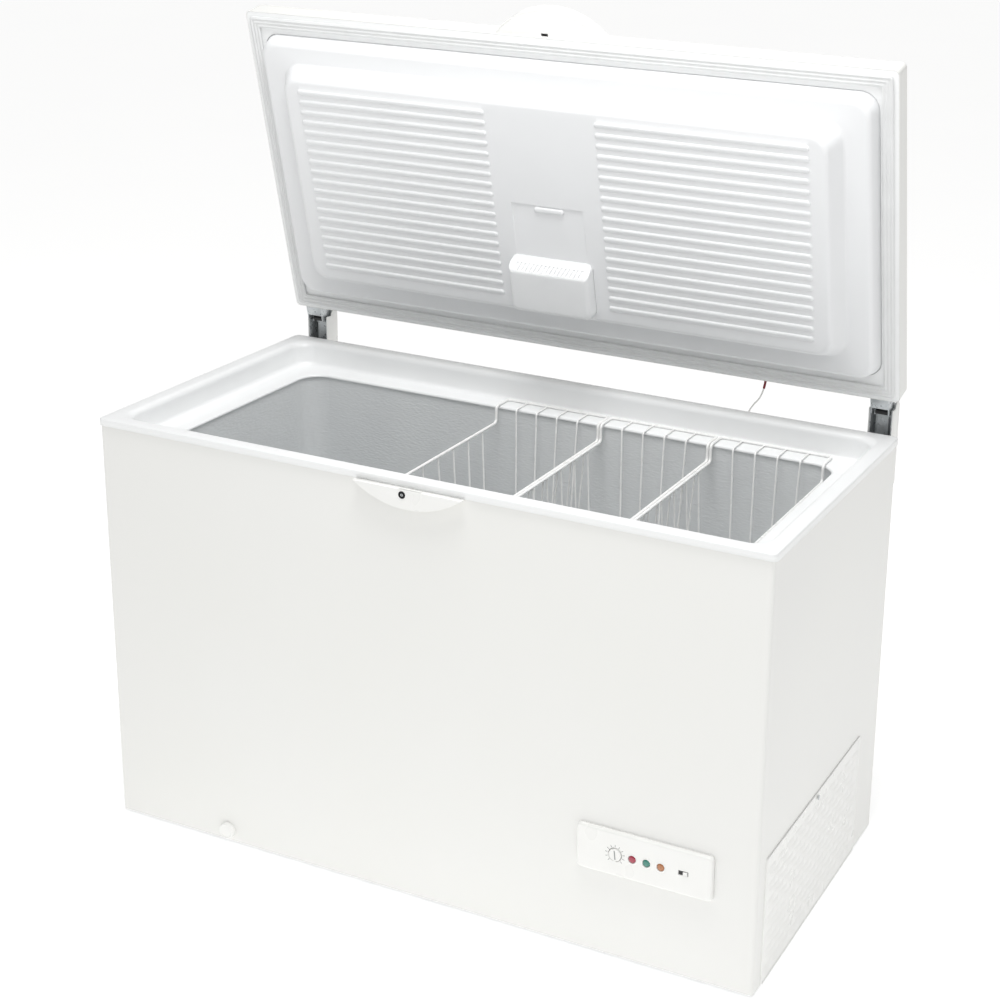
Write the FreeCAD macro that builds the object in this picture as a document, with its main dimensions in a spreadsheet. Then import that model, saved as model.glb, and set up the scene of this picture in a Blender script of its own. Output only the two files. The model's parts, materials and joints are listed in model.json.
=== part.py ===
import FreeCAD, Part
import math
import os
import re

import Sketcher

# A chest freezer with its lid open: a foamed steel cabinet with a stucco aluminium tub, a white
# plastic rim with a ledge for three lift-out wire baskets, and a foamed lid on two sprung hinges.
#
# Millimetres, +Z up, the front faces -Y. The origin is on the floor under the middle of the
# object's box. Every piece is first drawn with the lid shut. The lid's pieces then turn about the
# hinge pins to lid_open, which is the pose that the object rests in.

os.makedirs("parts", exist_ok=True)
doc = FreeCAD.newDocument("ChestFreezer")

# ---------------------------------------------------------------- driving dimensions
DIMENSIONS = {
    # overall
    "width": 1405, "depth": 665, "rim_height": 860, "lid_open": 77, "fit_gap": 0.3,
    # cabinet shell
    "case_gauge": 1, "case_corner": 6, "case_bottom": 8, "foot_radius": 22,
    "foot_inset": 70, "foot_stem": 6,
    # rim frame
    "rim_wall": 3, "rim_skirt": 14, "rim_flat": 24, "rim_round": 12, "rim_corner": 10, "lip_drop": 6,
    "ledge_drop": 52, "side_wall": 94, "end_wall": 84, "collar_corner": 40, "tub_corner": 46,
    # tub
    "liner_gauge": 1, "floor_height": 78, "bay_width": 280, "bay_height": 285, "bay_foam": 52,
    # lid
    "lid_inset": 3.5, "lid_nose": 4, "lid_tail": 10, "lid_lift": 6, "lid_thick": 50,
    "lid_corner": 10, "panel_wall": 2.5, "lip_wall": 2.5, "step_deep": 30, "plateau_deep": 68,
    "gasket_wide": 22, "gasket_in": 10, "panel_gap": 3.5, "step_taper": 9, "plateau_gap": 6,
    "plateau_taper": 18, "lid_round": 8,
    # hinge
    "pin_back": 44, "pin_high": 45, "pin_radius": 3, "hinge_centre": 657, "hinge_half": 23,
    "hinge_gauge": 2, "hinge_low": 160, "cover_wall": 2, "leaf_gap": 2.5, "roller_radius": 5.5,
    # handle and lock
    "handle_half": 118, "handle_reach": 55, "handle_thick": 30, "handle_wall": 3,
    "plate_half": 113, "plate_deep": 37, "plate_proud": 16, "barrel_radius": 7, "barrel_left": 9,
    "cam_gauge": 2, "cam_long": 36, "cam_wide": 6,
    # controls
    "fascia_left": 348, "fascia_long": 269, "fascia_tall": 90, "fascia_low": 179,
    "fascia_proud": 10, "fascia_wall": 2.5, "dial_radius": 12.5, "dial_proud": 3,
    "lens_radius": 7, "slider_long": 9, "slider_tall": 8, "slider_travel": 6,
    # drain
    "drain_x": 435, "drain_z": 30, "drain_radius": 17, "drain_proud": 9, "drain_bore": 9,
    # grille and bay
    "grille_front": 38, "grille_long": 510, "grille_top": 268, "grille_proud": 3,
    # baskets
    "basket_pitch": 243, "basket_left": 140, "basket_gap": 7, "rail_radius": 3,
    "wire_radius": 1.75, "rail_drop": 33, "basket_deep": 230, "basket_taper": 12,
    # lamp
    "lamp_half": 90, "lamp_deep": 28, "lamp_long": 116, "lamp_edge": 128, "lamp_wall": 2, "cable_radius": 1.75,
    "sleeve_radius": 2.6,
}
sheet = doc.addObject("Spreadsheet::Sheet", "dims")
for row, (alias, number) in enumerate(DIMENSIONS.items(), start=1):
    sheet.set(f"A{row}", alias.replace("_", " "))
    sheet.set(f"B{row}", str(number))
    sheet.setAlias(f"B{row}", alias)
doc.recompute()

# ---------------------------------------------------------------- derived places
# Each derived place is a property of one object, bound to the sheet by its formula. A name in a
# formula is either a driving dimension or a place derived before it.
layout = doc.addObject("App::FeaturePython", "layout")
owner = {alias: "dims" for alias in DIMENSIONS}


def bound(formula):
    """The formula with each name written as a reference to the sheet or to the layout."""
    return re.sub(r"[a-z_]+", lambda word: f"{owner[word[0]]}.{word[0]}", str(formula))


def derive(name, formula):
    """Add one derived place to the layout."""
    layout.addProperty("App::PropertyFloat", name)
    layout.setExpression(name, bound(formula))
    owner[name] = "layout"


def size(name):
    """The value of a dimension or of a derived place, for shapes that code works out."""
    return float(getattr(sheet if owner[name] == "dims" else layout, name))


for name, formula in {
    "half": "width / 2",
    "hinge_back": "pin_back + 10",
    "cover_back": "hinge_back + fit_gap + cover_wall",
    "plate_out": "plate_proud - rim_wall - fit_gap",
    "front": "-(depth + cover_back - plate_out) / 2",
    "back": "front + depth",
    "ledge": "rim_height - ledge_drop",
    "collar": "rim_flat + rim_round",
    "collar_x": "half - collar",
    "collar_front": "front + collar",
    "collar_back": "back - collar",
    "tub_x": "half - side_wall",
    "tub_front": "front + end_wall",
    "tub_back": "back - end_wall",
    "liner_x": "tub_x + rim_wall + fit_gap",
    "liner_front": "tub_front - rim_wall - fit_gap",
    "liner_back": "tub_back + rim_wall + fit_gap",
    "liner_top": "ledge - rim_wall - fit_gap",
    "foam_top": "ledge - rim_wall - lip_drop - 1",
    "case_x": "half - rim_wall - fit_gap",
    "case_front": "front + rim_wall + fit_gap",
    "case_back": "back - rim_wall - fit_gap",
    "case_top": "rim_height - rim_wall",
    "bay_x": "case_x - bay_width",
    "bay_top": "case_bottom + bay_height",
    "step_x": "bay_x - bay_foam",
    "step_top": "bay_top + bay_foam",
    "skirt": "rim_height + lid_lift",
    "lid_top": "skirt + lid_thick",
    "lid_x": "half - lid_inset",
    "lid_front": "front - lid_nose",
    "lid_back": "back + lid_tail",
    "pin_y": "back + pin_back",
    "pin_z": "rim_height + pin_high",
    "fascia_z": "fascia_low + fascia_tall / 2",
    "control_y": "case_front - fascia_proud",
    "plate_top": "rim_height - rim_skirt - fit_gap",
    "barrel_z": "plate_top - 10",
    "cam_y": "case_front - plate_proud + 2.5",
    "step_low": "skirt - step_deep",
    "plateau_low": "skirt - plateau_deep",
    "drain_y": "liner_front + 45",
}.items():
    derive(name, formula)
doc.recompute()

# ---------------------------------------------------------------- building blocks
parts = {}


def keep(node, obj):
    """Give a finished sub-part its node name."""
    obj.Label = node
    parts[node] = obj
    return obj


def named(prefix):
    """A fresh internal name for a helper object."""
    named.count += 1
    return f"{prefix}_{named.count}"


named.count = 0


def box(low, high):
    """A box between two corners, each a triple of formulas."""
    obj = doc.addObject("Part::Box", named("box"))
    for side, start, end in zip(("Length", "Width", "Height"), low, high):
        obj.setExpression(side, bound(f"({end}) - ({start})"))
    for axis, start in zip("xyz", low):
        obj.setExpression(f"Placement.Base.{axis}", bound(start))
    return obj


TURNS = {
    "x": FreeCAD.Rotation(FreeCAD.Vector(0, 1, 0), 90),
    "y": FreeCAD.Rotation(FreeCAD.Vector(1, 0, 0), -90),
    "z": FreeCAD.Rotation(),
}


def rod(radius, length, start, axis="z"):
    """A cylinder from a start point along +x, +y or +z."""
    obj = doc.addObject("Part::Cylinder", named("rod"))
    obj.setExpression("Radius", bound(radius))
    obj.setExpression("Height", bound(length))
    obj.Placement = FreeCAD.Placement(FreeCAD.Vector(), TURNS[axis])
    for name, place in zip("xyz", start):
        obj.setExpression(f"Placement.Base.{name}", bound(place))
    return obj


def fuse(*shapes):
    """One solid from shapes that meet or overlap."""
    obj = doc.addObject("Part::MultiFuse", named("fuse"))
    obj.Shapes = list(shapes)
    return obj


def cut(base, *tools):
    """The base with each tool taken away."""
    obj = doc.addObject("Part::Cut", named("cut"))
    obj.Base = base
    obj.Tool = tools[0] if len(tools) == 1 else fuse(*tools)
    return obj


def common(base, tool):
    """What two shapes share."""
    obj = doc.addObject("Part::Common", named("common"))
    obj.Base = base
    obj.Tool = tool
    return obj


def group(*shapes):
    """Separate solids in one sub-part."""
    obj = doc.addObject("Part::Compound", named("group"))
    obj.Links = list(shapes)
    return obj


def new_body(node):
    """An empty PartDesign body for a sub-part."""
    return keep(node, doc.addObject("PartDesign::Body", node + "_body"))


def origin_plane(body, role):
    """One of a body's own origin planes."""
    return next(f for f in body.Origin.OriginFeatures if f.Role == role)


def add_loop(sketch, low, high, radius, inset=0):
    """Add a rounded rectangle to a sketch whose origin is the low corner, set in all round."""
    prefix = f"loop{sketch.GeometryCount}"
    wide, tall, arc = 100.0, 80.0, 5.0
    base = sketch.GeometryCount
    centres = [(arc, arc), (wide - arc, arc), (wide - arc, tall - arc), (arc, tall - arc)]
    lines = [((arc, 0), (wide - arc, 0)), ((wide, arc), (wide, tall - arc)),
             ((wide - arc, tall), (arc, tall)), ((0, tall - arc), (0, arc))]
    for start, end in lines:
        sketch.addGeometry(Part.LineSegment(FreeCAD.Vector(*start, 0), FreeCAD.Vector(*end, 0)))
    for number, centre in enumerate(centres):
        turn = math.pi + number * math.pi / 2
        circle = Part.Circle(FreeCAD.Vector(*centre, 0), FreeCAD.Vector(0, 0, 1), arc)
        sketch.addGeometry(Part.ArcOfCircle(circle, turn, turn + math.pi / 2))
    for number in range(4):
        line, corner = base + number, base + 4 + number
        last = base + (number + 3) % 4
        sketch.addConstraint(Sketcher.Constraint("Tangent", corner, 2, line, 1))
        sketch.addConstraint(Sketcher.Constraint("Tangent", corner, 1, last, 2))
        kind = "Horizontal" if number % 2 == 0 else "Vertical"
        sketch.addConstraint(Sketcher.Constraint(kind, line))
        if number:
            sketch.addConstraint(Sketcher.Constraint("Equal", base + 4, corner))
    sizes = {
        "wide": (("DistanceX", base + 3, 1, base + 1, 1), f"({high[0]}) - ({low[0]}) - 2 * ({inset})"),
        "tall": (("DistanceY", base, 1, base + 2, 2), f"({high[1]}) - ({low[1]}) - 2 * ({inset})"),
        "round": (("Radius", base + 4), radius),
    }
    start = {"wide": wide, "tall": tall, "round": arc}
    for name, (place, formula) in sizes.items():
        sketch.addConstraint(Sketcher.Constraint(*place, start[name]))
        sketch.renameConstraint(sketch.ConstraintCount - 1, prefix + name)
        sketch.setExpression(f"Constraints.{prefix}{name}", bound(formula))
    if inset:
        for name, kind, line in (("left", "DistanceX", base + 3), ("lower", "DistanceY", base)):
            sketch.addConstraint(Sketcher.Constraint(kind, -1, 1, line, 1, 1.0))
            sketch.renameConstraint(sketch.ConstraintCount - 1, prefix + name)
            sketch.setExpression(f"Constraints.{prefix}{name}", bound(inset))
    else:
        sketch.addConstraint(Sketcher.Constraint("PointOnObject", base, 1, -1))
        sketch.addConstraint(Sketcher.Constraint("PointOnObject", base + 3, 1, -2))


def outline(body, low, high, radius, height, wall=None, inner_radius=None):
    """A rounded rectangle in a level plane, or a frame of one wall thickness when wall is given."""
    sketch = body.newObject("Sketcher::SketchObject", named("outline"))
    sketch.AttachmentSupport = [(origin_plane(body, "XY_Plane"), "")]
    sketch.MapMode = "FlatFace"
    for axis, place in zip("xyz", (*low, height)):
        sketch.setExpression(f"AttachmentOffset.Base.{axis}", bound(place))
    add_loop(sketch, low, high, radius)
    if wall is not None:
        add_loop(sketch, low, high, inner_radius or radius, wall)
    return sketch


def pad(body, low, high, radius, bottom, top, wall=None, inner_radius=None):
    """Add an upright prism of a rounded rectangle, or of a frame of one wall thickness."""
    feature = body.newObject("PartDesign::Pad", named("pad"))
    feature.Profile = outline(body, low, high, radius, bottom, wall, inner_radius)
    feature.setExpression("Length", bound(f"({top}) - ({bottom})"))
    return feature


def pocket(body, low, high, radius, bottom, top):
    """Take away an upright prism of a rounded rectangle, from its top downwards."""
    feature = body.newObject("PartDesign::Pocket", named("pocket"))
    feature.Profile = outline(body, low, high, radius, top)
    feature.setExpression("Length", bound(f"({top}) - ({bottom})"))
    return feature


def loft(body, kind, upper, lower):
    """Add or take away the tapered prism between two outlines: (low, high, radius, height)."""
    feature = body.newObject(f"PartDesign::{kind}Loft", named("loft"))
    feature.Profile = outline(body, *upper)
    feature.Sections = [outline(body, *lower)]
    feature.Ruled = True
    return feature


def disc_profile(half, deep):
    """The radius of the circle whose segment is twice half wide and deep high."""
    return f"(({half}) * ({half}) + ({deep}) * ({deep})) / (2 * ({deep}))"


# ---------------------------------------------------------------- cabinet shell
INNER_CASE_LOW = ("-(case_x - case_gauge)", "case_front + case_gauge")
INNER_CASE_HIGH = ("case_x - case_gauge", "case_back - case_gauge")
BARREL = ("-barrel_left", "barrel_z")
DIAL_X, RED_X, GREEN_X, AMBER_X, SLOT_X = (f"fascia_left + {step}" for step in (79, 113, 141, 169, 204))


def fascia_opening(depth_in):
    """The opening behind the control fascia, cut back from the case's front."""
    return box(("fascia_left + 8", "case_front - 1", "fascia_low + 8"),
               ("fascia_left + fascia_long - 8", depth_in, "fascia_low + fascia_tall - 8"))


def drain_hole(radius, depth_in):
    """The hole for the drain, from in front of the case to a given depth."""
    return rod(radius, f"{depth_in} + 2", ("-drain_x", "case_front - 2", "drain_z"), "y")


def lock_hole(radius, length, start):
    """A hole along the lock's axis."""
    return rod(radius, length, (BARREL[0], start, BARREL[1]), "y")


wrap = doc.addObject("PartDesign::Body", "wrap")
pad(wrap, ("-case_x", "case_front"), ("case_x", "case_back"), "case_corner", "case_bottom",
    "case_top", wall="case_gauge", inner_radius="case_corner - case_gauge")
keep("outer_case", cut(
    wrap,
    box(("-case_x - 1", "case_back - case_gauge - case_corner", "case_bottom - 1"),
        ("case_x + 1", "case_back + 1", "case_top + 1")),
    fascia_opening("case_front + 3"),
    drain_hole("drain_bore", 6),
    lock_hole("barrel_radius + 1", 8, "case_front - 3"),
    box(("case_x - 3", "front + grille_front + 16", "case_bottom + 16"),
        ("case_x + 3", "front + grille_front + grille_long - 16", "grille_top - 16")),
))
REAR_LOW = ("-case_x", "case_back - case_gauge - case_corner", "case_bottom")
keep("rear_panel", cut(
    common(wrap, box(REAR_LOW, ("case_x", "case_back", "case_top"))),
    box(("bay_x + 20", "case_back - 3", "case_bottom + 20"),
        ("case_x - 20", "case_back + 1", "bay_top - 20")),
    rod(5, 6, ("380", "case_back - 4", "rim_height - 45"), "y"),
))
LOUVRE_COUNT = 8
louvres = [box(("bay_x + 50", "case_back - 1", f"case_bottom + 30 + {26 * step}"),
               ("case_x - 50", "case_back + 9", f"case_bottom + 36 + {26 * step}"))
           for step in range(LOUVRE_COUNT)]
INLET = ("bay_x + 32", "case_bottom + 30")
keep("rear_service_cover", cut(
    box(("bay_x + 8", "case_back", "case_bottom + 8"),
        ("case_x - 8", "case_back + case_gauge", "bay_top - 8")),
    *louvres, rod(7, 6, (INLET[0], "case_back - 2", INLET[1]), "y")))
foot_x = "case_x - foot_inset"
feet = []
for side in ("-", ""):
    for y in ("case_front + foot_inset", "case_back - foot_inset"):
        spot = (f"{side}({foot_x})", y)
        feet.append(fuse(rod("foot_radius", "case_bottom", (*spot, "0")),
                         rod("foot_stem", "case_gauge + 6", (*spot, "case_bottom"))))
keep("feet", group(*feet))
foot_holes = [rod("foot_stem + fit_gap", 14, (f"{side}({foot_x})", y, "case_bottom - 2"))
              for side in ("-", "") for y in ("case_front + foot_inset", "case_back - foot_inset")]
pan_sheet = doc.addObject("PartDesign::Body", "base_sheet")
pad(pan_sheet, INNER_CASE_LOW, INNER_CASE_HIGH, "case_corner", "case_bottom",
    "case_bottom + case_gauge")
keep("base_pan", cut(pan_sheet, *foot_holes))

# ---------------------------------------------------------------- rim frame
rim = new_body("rim_frame")
COLLAR_LOW, COLLAR_HIGH = ("-collar_x", "collar_front"), ("collar_x", "collar_back")
TUB_LOW, TUB_HIGH = ("-tub_x", "tub_front"), ("tub_x", "tub_back")


def grown(low, high, by):
    """A rectangle's corners moved outwards all round."""
    return tuple(f"{v} - ({by})" for v in low), tuple(f"{v} + ({by})" for v in high)


pad(rim, ("-half", "front"), ("half", "back"), "rim_corner", "rim_height - rim_wall", "rim_height")
pad(rim, ("-half", "front"), ("half", "back"), "rim_corner", "rim_height - rim_skirt",
    "rim_height", wall="rim_wall", inner_radius="rim_corner - rim_wall")
pad(rim, *grown(COLLAR_LOW, COLLAR_HIGH, "rim_round"), "collar_corner + rim_round",
    "rim_height - rim_round - 1", "rim_height")
pad(rim, *grown(COLLAR_LOW, COLLAR_HIGH, "rim_wall"), "collar_corner + rim_wall",
    "ledge - rim_wall", "rim_height")
pad(rim, *grown(TUB_LOW, TUB_HIGH, "rim_wall"), "tub_corner + rim_wall", "ledge - lip_drop",
    "ledge")
pocket(rim, COLLAR_LOW, COLLAR_HIGH, "collar_corner", "ledge", "rim_height")
pocket(rim, TUB_LOW, TUB_HIGH, "tub_corner", "ledge - lip_drop - 1", "ledge")
doc.recompute()


def round_edges(body, radius, chosen):
    """Round the edges of a body's last feature that a test picks out."""
    base = body.Tip
    names = [f"Edge{i}" for i, edge in enumerate(base.Shape.Edges, start=1) if chosen(edge.BoundBox)]
    fillet = body.newObject("PartDesign::Fillet", named("fillet"))
    fillet.Base = (base, names)
    fillet.setExpression("Radius", bound(radius))
    doc.recompute()


def on_level(level, half_x, half_y, centre_y=0.0):
    """A test for edges that lie at one level inside a rectangle."""
    def test(span):
        return (abs(span.ZMin - level) < 0.01 and abs(span.ZMax - level) < 0.01
                and max(-span.XMin, span.XMax) < half_x + 0.01
                and max(centre_y - span.YMin, span.YMax - centre_y) < half_y + 0.01)
    return test


middle_y = (size("front") + size("back")) / 2
collar_half_y = size("depth") / 2 - size("collar")
round_edges(rim, "rim_round", on_level(size("rim_height"), size("collar_x"), collar_half_y, middle_y))

# ---------------------------------------------------------------- tub and foam
LINER_LOW, LINER_HIGH = ("-liner_x", "liner_front"), ("liner_x", "liner_back")
STEP_HIGH = ("step_x", "liner_back")
liner = doc.addObject("PartDesign::Body", "liner")
pad(liner, *grown(LINER_LOW, LINER_HIGH, "liner_gauge"), "tub_corner + liner_gauge",
    "step_top - liner_gauge", "liner_top")
pad(liner, *grown(LINER_LOW, STEP_HIGH, "liner_gauge"), "tub_corner + liner_gauge",
    "floor_height - liner_gauge", "step_top - liner_gauge")
pocket(liner, LINER_LOW, LINER_HIGH, "tub_corner", "step_top", "liner_top")
pocket(liner, LINER_LOW, STEP_HIGH, "tub_corner", "floor_height", "step_top")
keep("inner_liner", cut(liner, rod("drain_bore", 8, ("-drain_x", "drain_y", "floor_height - 4"))))

foam = doc.addObject("PartDesign::Body", "foam")
pad(foam, INNER_CASE_LOW, INNER_CASE_HIGH, "case_corner", "case_bottom + case_gauge", "foam_top")
pocket(foam, *grown(LINER_LOW, LINER_HIGH, "liner_gauge"), "tub_corner + liner_gauge",
       "step_top - liner_gauge", "foam_top")
pocket(foam, *grown(LINER_LOW, STEP_HIGH, "liner_gauge"), "tub_corner + liner_gauge",
       "floor_height - liner_gauge", "step_top - liner_gauge")
pocket(foam, ("bay_x", "case_front + case_gauge - 9"), ("case_x + 9", "case_back + 9"), "4",
       "case_bottom + case_gauge - 1", "bay_top")


def swept(points, radius, bend):
    """A round bar along straight runs whose corners are rounded to one bend radius."""
    points = [FreeCAD.Vector(*point) for point in points]
    edges, start = [], points[0]
    for before, corner, after in zip(points, points[1:], points[2:]):
        into, out = (corner - before).normalize(), (after - corner).normalize()
        turn = into.getAngle(out)
        cutback = bend * math.tan(turn / 2)
        first, last = corner - into * cutback, corner + out * cutback
        middle = corner + (out - into).normalize() * (bend / math.cos(turn / 2) - bend)
        if (first - start).Length > 1e-6:
            edges.append(Part.LineSegment(start, first).toShape())
        edges.append(Part.Arc(first, middle, last).toShape())
        start = last
    edges.append(Part.LineSegment(start, points[-1]).toShape())
    path = Part.Wire(edges)
    ring = Part.Wire(Part.Circle(points[0], points[1] - points[0], radius).toShape())
    return path.makePipeShell([ring], True, True)


def feature(shape):
    """A document object for a shape that code has worked out."""
    obj = doc.addObject("Part::Feature", named("shape"))
    obj.Shape = shape
    return obj


def serpentine(x_low, x_high, y, z_low, z_high, runs):
    """Corner points of a tube that runs to and fro along X as it climbs."""
    points = []
    for number in range(runs):
        level = z_low + (z_high - z_low) * number / (runs - 1)
        ends = [(x_low, y, level), (x_high, y, level)]
        points += ends if number % 2 == 0 else ends[::-1]
    return points


TUBE_RADIUS, TUBE_BEND = 2.5, 20.0
tube_y = {"condenser_tube": size("case_front") + size("case_gauge") + 9,
          "evaporator_tube": size("liner_back") + size("liner_gauge") + 9}
tube_runs = {
    "condenser_tube": serpentine(-size("case_x") + 60, size("step_x") - 80,
                                 tube_y["condenser_tube"], 150, size("foam_top") - 60, 7),
    "evaporator_tube": serpentine(-size("liner_x") + 50, size("step_x") - 30,
                                  tube_y["evaporator_tube"], 170, size("foam_top") - 60, 8),
}
tube_grooves = []
for node, points in tube_runs.items():
    keep(node, feature(swept(points, TUBE_RADIUS, TUBE_BEND)))
    tube_grooves.append(feature(swept(points, TUBE_RADIUS + size("fit_gap"), TUBE_BEND)))

DRAIN_BEND = 25.0
drain_points = [(-size("drain_x"), size("case_front"), size("drain_z")),
                (-size("drain_x"), size("drain_y"), size("drain_z")),
                (-size("drain_x"), size("drain_y"), size("floor_height") - 1)]
drain_outer = size("drain_bore") - 1
keep("drain_tube", cut(feature(swept(drain_points, drain_outer, DRAIN_BEND)),
                       feature(swept(drain_points, drain_outer - 2, DRAIN_BEND))))
keep("insulation_foam", cut(
    foam, *tube_grooves, *foot_holes,
    feature(swept(drain_points, drain_outer + size("fit_gap"), DRAIN_BEND)),
    fascia_opening("case_front + 40"),
    lock_hole("barrel_radius + 3", 22, "case_front")))
keep("drain_plug", fuse(
    rod(13, 5, ("-drain_x", "drain_y", "floor_height")),
    rod("drain_bore - 3.5", 14, ("-drain_x", "drain_y", "floor_height - 13"))))
keep("drain_cap", fuse(
    rod("drain_radius", "drain_proud", ("-drain_x", "case_front - drain_proud - fit_gap", "drain_z"), "y"),
    rod("drain_bore - 3.5", 18, ("-drain_x", "case_front - fit_gap", "drain_z"), "y")))

# ---------------------------------------------------------------- machine bay
COMPRESSOR_X, COMPRESSOR_Y = "bay_x + 150", "case_back - 190"
bay_floor = "case_bottom + case_gauge"
rail_low = ("bay_x + 40", "case_back - 290", bay_floor)
keep("compressor_rail", cut(
    box(rail_low, ("case_x - 20", "case_back - 90", "case_bottom + case_gauge + 14")),
    box(("bay_x + 39", "case_back - 288", bay_floor),
        ("case_x - 19", "case_back - 92", "case_bottom + case_gauge + 12"))))
keep("compressor_grommets", group(*[
    rod(11, 12, (f"{COMPRESSOR_X} {sx} 70", f"{COMPRESSOR_Y} {sy} 60", "case_bottom + case_gauge + 14"))
    for sx in "-+" for sy in "-+"]))
plate_z = "case_bottom + case_gauge + 26"


def ellipsoid(half_x, half_y, half_z, centre):
    """A ball stretched to three half widths."""
    obj = doc.addObject("Part::Ellipsoid", named("ellipsoid"))
    for side, half in zip(("Radius2", "Radius3", "Radius1"), (half_x, half_y, half_z)):
        obj.setExpression(side, bound(half))
    for axis, place in zip("xyz", centre):
        obj.setExpression(f"Placement.Base.{axis}", bound(place))
    return obj


SHELL_Z = "case_bottom + case_gauge + 112"
keep("compressor", fuse(
    box((f"{COMPRESSOR_X} - 88", f"{COMPRESSOR_Y} - 76", plate_z),
        (f"{COMPRESSOR_X} + 88", f"{COMPRESSOR_Y} + 76", f"{plate_z} + 3")),
    rod(60, 40, (COMPRESSOR_X, COMPRESSOR_Y, f"{plate_z} + 2")),
    ellipsoid(84, 76, 82, (COMPRESSOR_X, COMPRESSOR_Y, SHELL_Z)),
    rod(86, 8, (COMPRESSOR_X, COMPRESSOR_Y, f"{SHELL_Z} - 4"))))
keep("start_relay", group(box(
    (f"{COMPRESSOR_X} - 25", f"{COMPRESSOR_Y} - 120", f"{SHELL_Z} - 40"),
    (f"{COMPRESSOR_X} + 25", f"{COMPRESSOR_Y} - 87", f"{SHELL_Z} + 20"))))

# The pipes leave the shell's side and run up to the bay's left wall, where they enter the foam.
compressor_x, compressor_y = size("bay_x") + 150, size("case_back") - 190
shell_z = size("case_bottom") + size("case_gauge") + 112
wall_x = size("bay_x") + 1
keep("refrigerant_pipes", group(
    feature(swept([(compressor_x - 85.3, compressor_y + 12, shell_z - 12),
                   (compressor_x - 112, compressor_y + 12, shell_z - 12),
                   (compressor_x - 112, compressor_y + 12, shell_z + 110),
                   (wall_x, compressor_y + 12, shell_z + 110)], 3.2, 9)),
    feature(swept([(compressor_x + 86.3, compressor_y, shell_z + 12),
                   (compressor_x + 108, compressor_y, shell_z + 12),
                   (compressor_x + 108, compressor_y - 120, shell_z + 12),
                   (compressor_x + 108, compressor_y - 120, shell_z + 84)], 2.4, 9))))
keep("filter_drier", group(rod(9, 68, (f"{COMPRESSOR_X} + 108", f"{COMPRESSOR_Y} - 120",
                                       f"{SHELL_Z} + 84.3"))))
keep("mains_inlet", fuse(
    rod(6.8, 18, (INLET[0], "case_back - 8", INLET[1]), "y"),
    rod(9, 4, (INLET[0], "case_back + case_gauge", INLET[1]), "y")))

# ---------------------------------------------------------------- side grille
grille_low = ("case_x", "front + grille_front", "case_bottom")
slots = []
VENT_ROWS, VENT_COLUMNS, VENT_LONG, VENT_TALL = 13, 11, 24, 7
for row in range(VENT_ROWS):
    for column in range(VENT_COLUMNS - row % 2):
        y = (f"front + grille_front + 18 + ({column} + {0.5 * (row % 2)})"
             f" * (grille_long - 36 - {VENT_LONG}) / {VENT_COLUMNS - 1}")
        level = f"case_bottom + 22 + {row} * (grille_top - case_bottom - 58) / {VENT_ROWS - 1}"
        slots.append(box(("case_x - 1", y, level),
                         ("case_x + grille_proud + 1", f"{y} + {VENT_LONG}", f"{level} + {VENT_TALL}")))
keep("side_grille", cut(
    box(grille_low, ("case_x + grille_proud", "front + grille_front + grille_long", "grille_top")),
    group(*slots)))
screw_spots = [("bay_x + 13", "case_bottom + 30"), ("bay_x + 13", "bay_top - 30"),
               ("case_x - 13", "case_bottom + 30"), ("case_x - 13", "bay_top - 30")]
keep("panel_screws", group(
    rod(4.5, 1.5, ("case_x + grille_proud", "front + 300", "grille_top - 12"), "x"),
    *[rod(4, 2, (place, "case_back + case_gauge", level), "y") for place, level in screw_spots]))

# ---------------------------------------------------------------- lock
plate_radius = disc_profile("plate_half", "plate_deep")
plate_front = "case_front - plate_proud"
lock_disc = rod(plate_radius, "plate_proud",
                ("0", plate_front, f"plate_top - plate_deep + {plate_radius}"), "y")
plate_block = box(("-plate_half - 1", plate_front, "plate_top - plate_deep - 1"),
                  ("plate_half + 1", "case_front", "plate_top"))
cam_room = box(("-barrel_left - cam_wide - 2", "cam_y - 1", "barrel_z - cam_wide - 2"),
               ("-barrel_left + cam_long + 4", "cam_y + cam_gauge + 1", "plate_top + 1"))
keep("lock_plate", cut(common(lock_disc, plate_block), cam_room,
                       lock_hole("barrel_radius + 0.05", "plate_proud + 2", f"{plate_front} - 1")))
keep("lock_barrel", fuse(
    lock_hole("barrel_radius", "cam_y - case_front + plate_proud + 1", f"{plate_front} - 1"),
    lock_hole("barrel_radius - 3.5", 24, "cam_y - 0.5")))
keep("lock_cam", cut(
    fuse(box(("-barrel_left", "cam_y", "barrel_z - cam_wide"),
             ("-barrel_left + cam_long", "cam_y + cam_gauge", "barrel_z + cam_wide / 2")),
         lock_hole("cam_wide", "cam_gauge", "cam_y")),
    lock_hole("barrel_radius - 3.5", 8, "cam_y - 3")))

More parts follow.
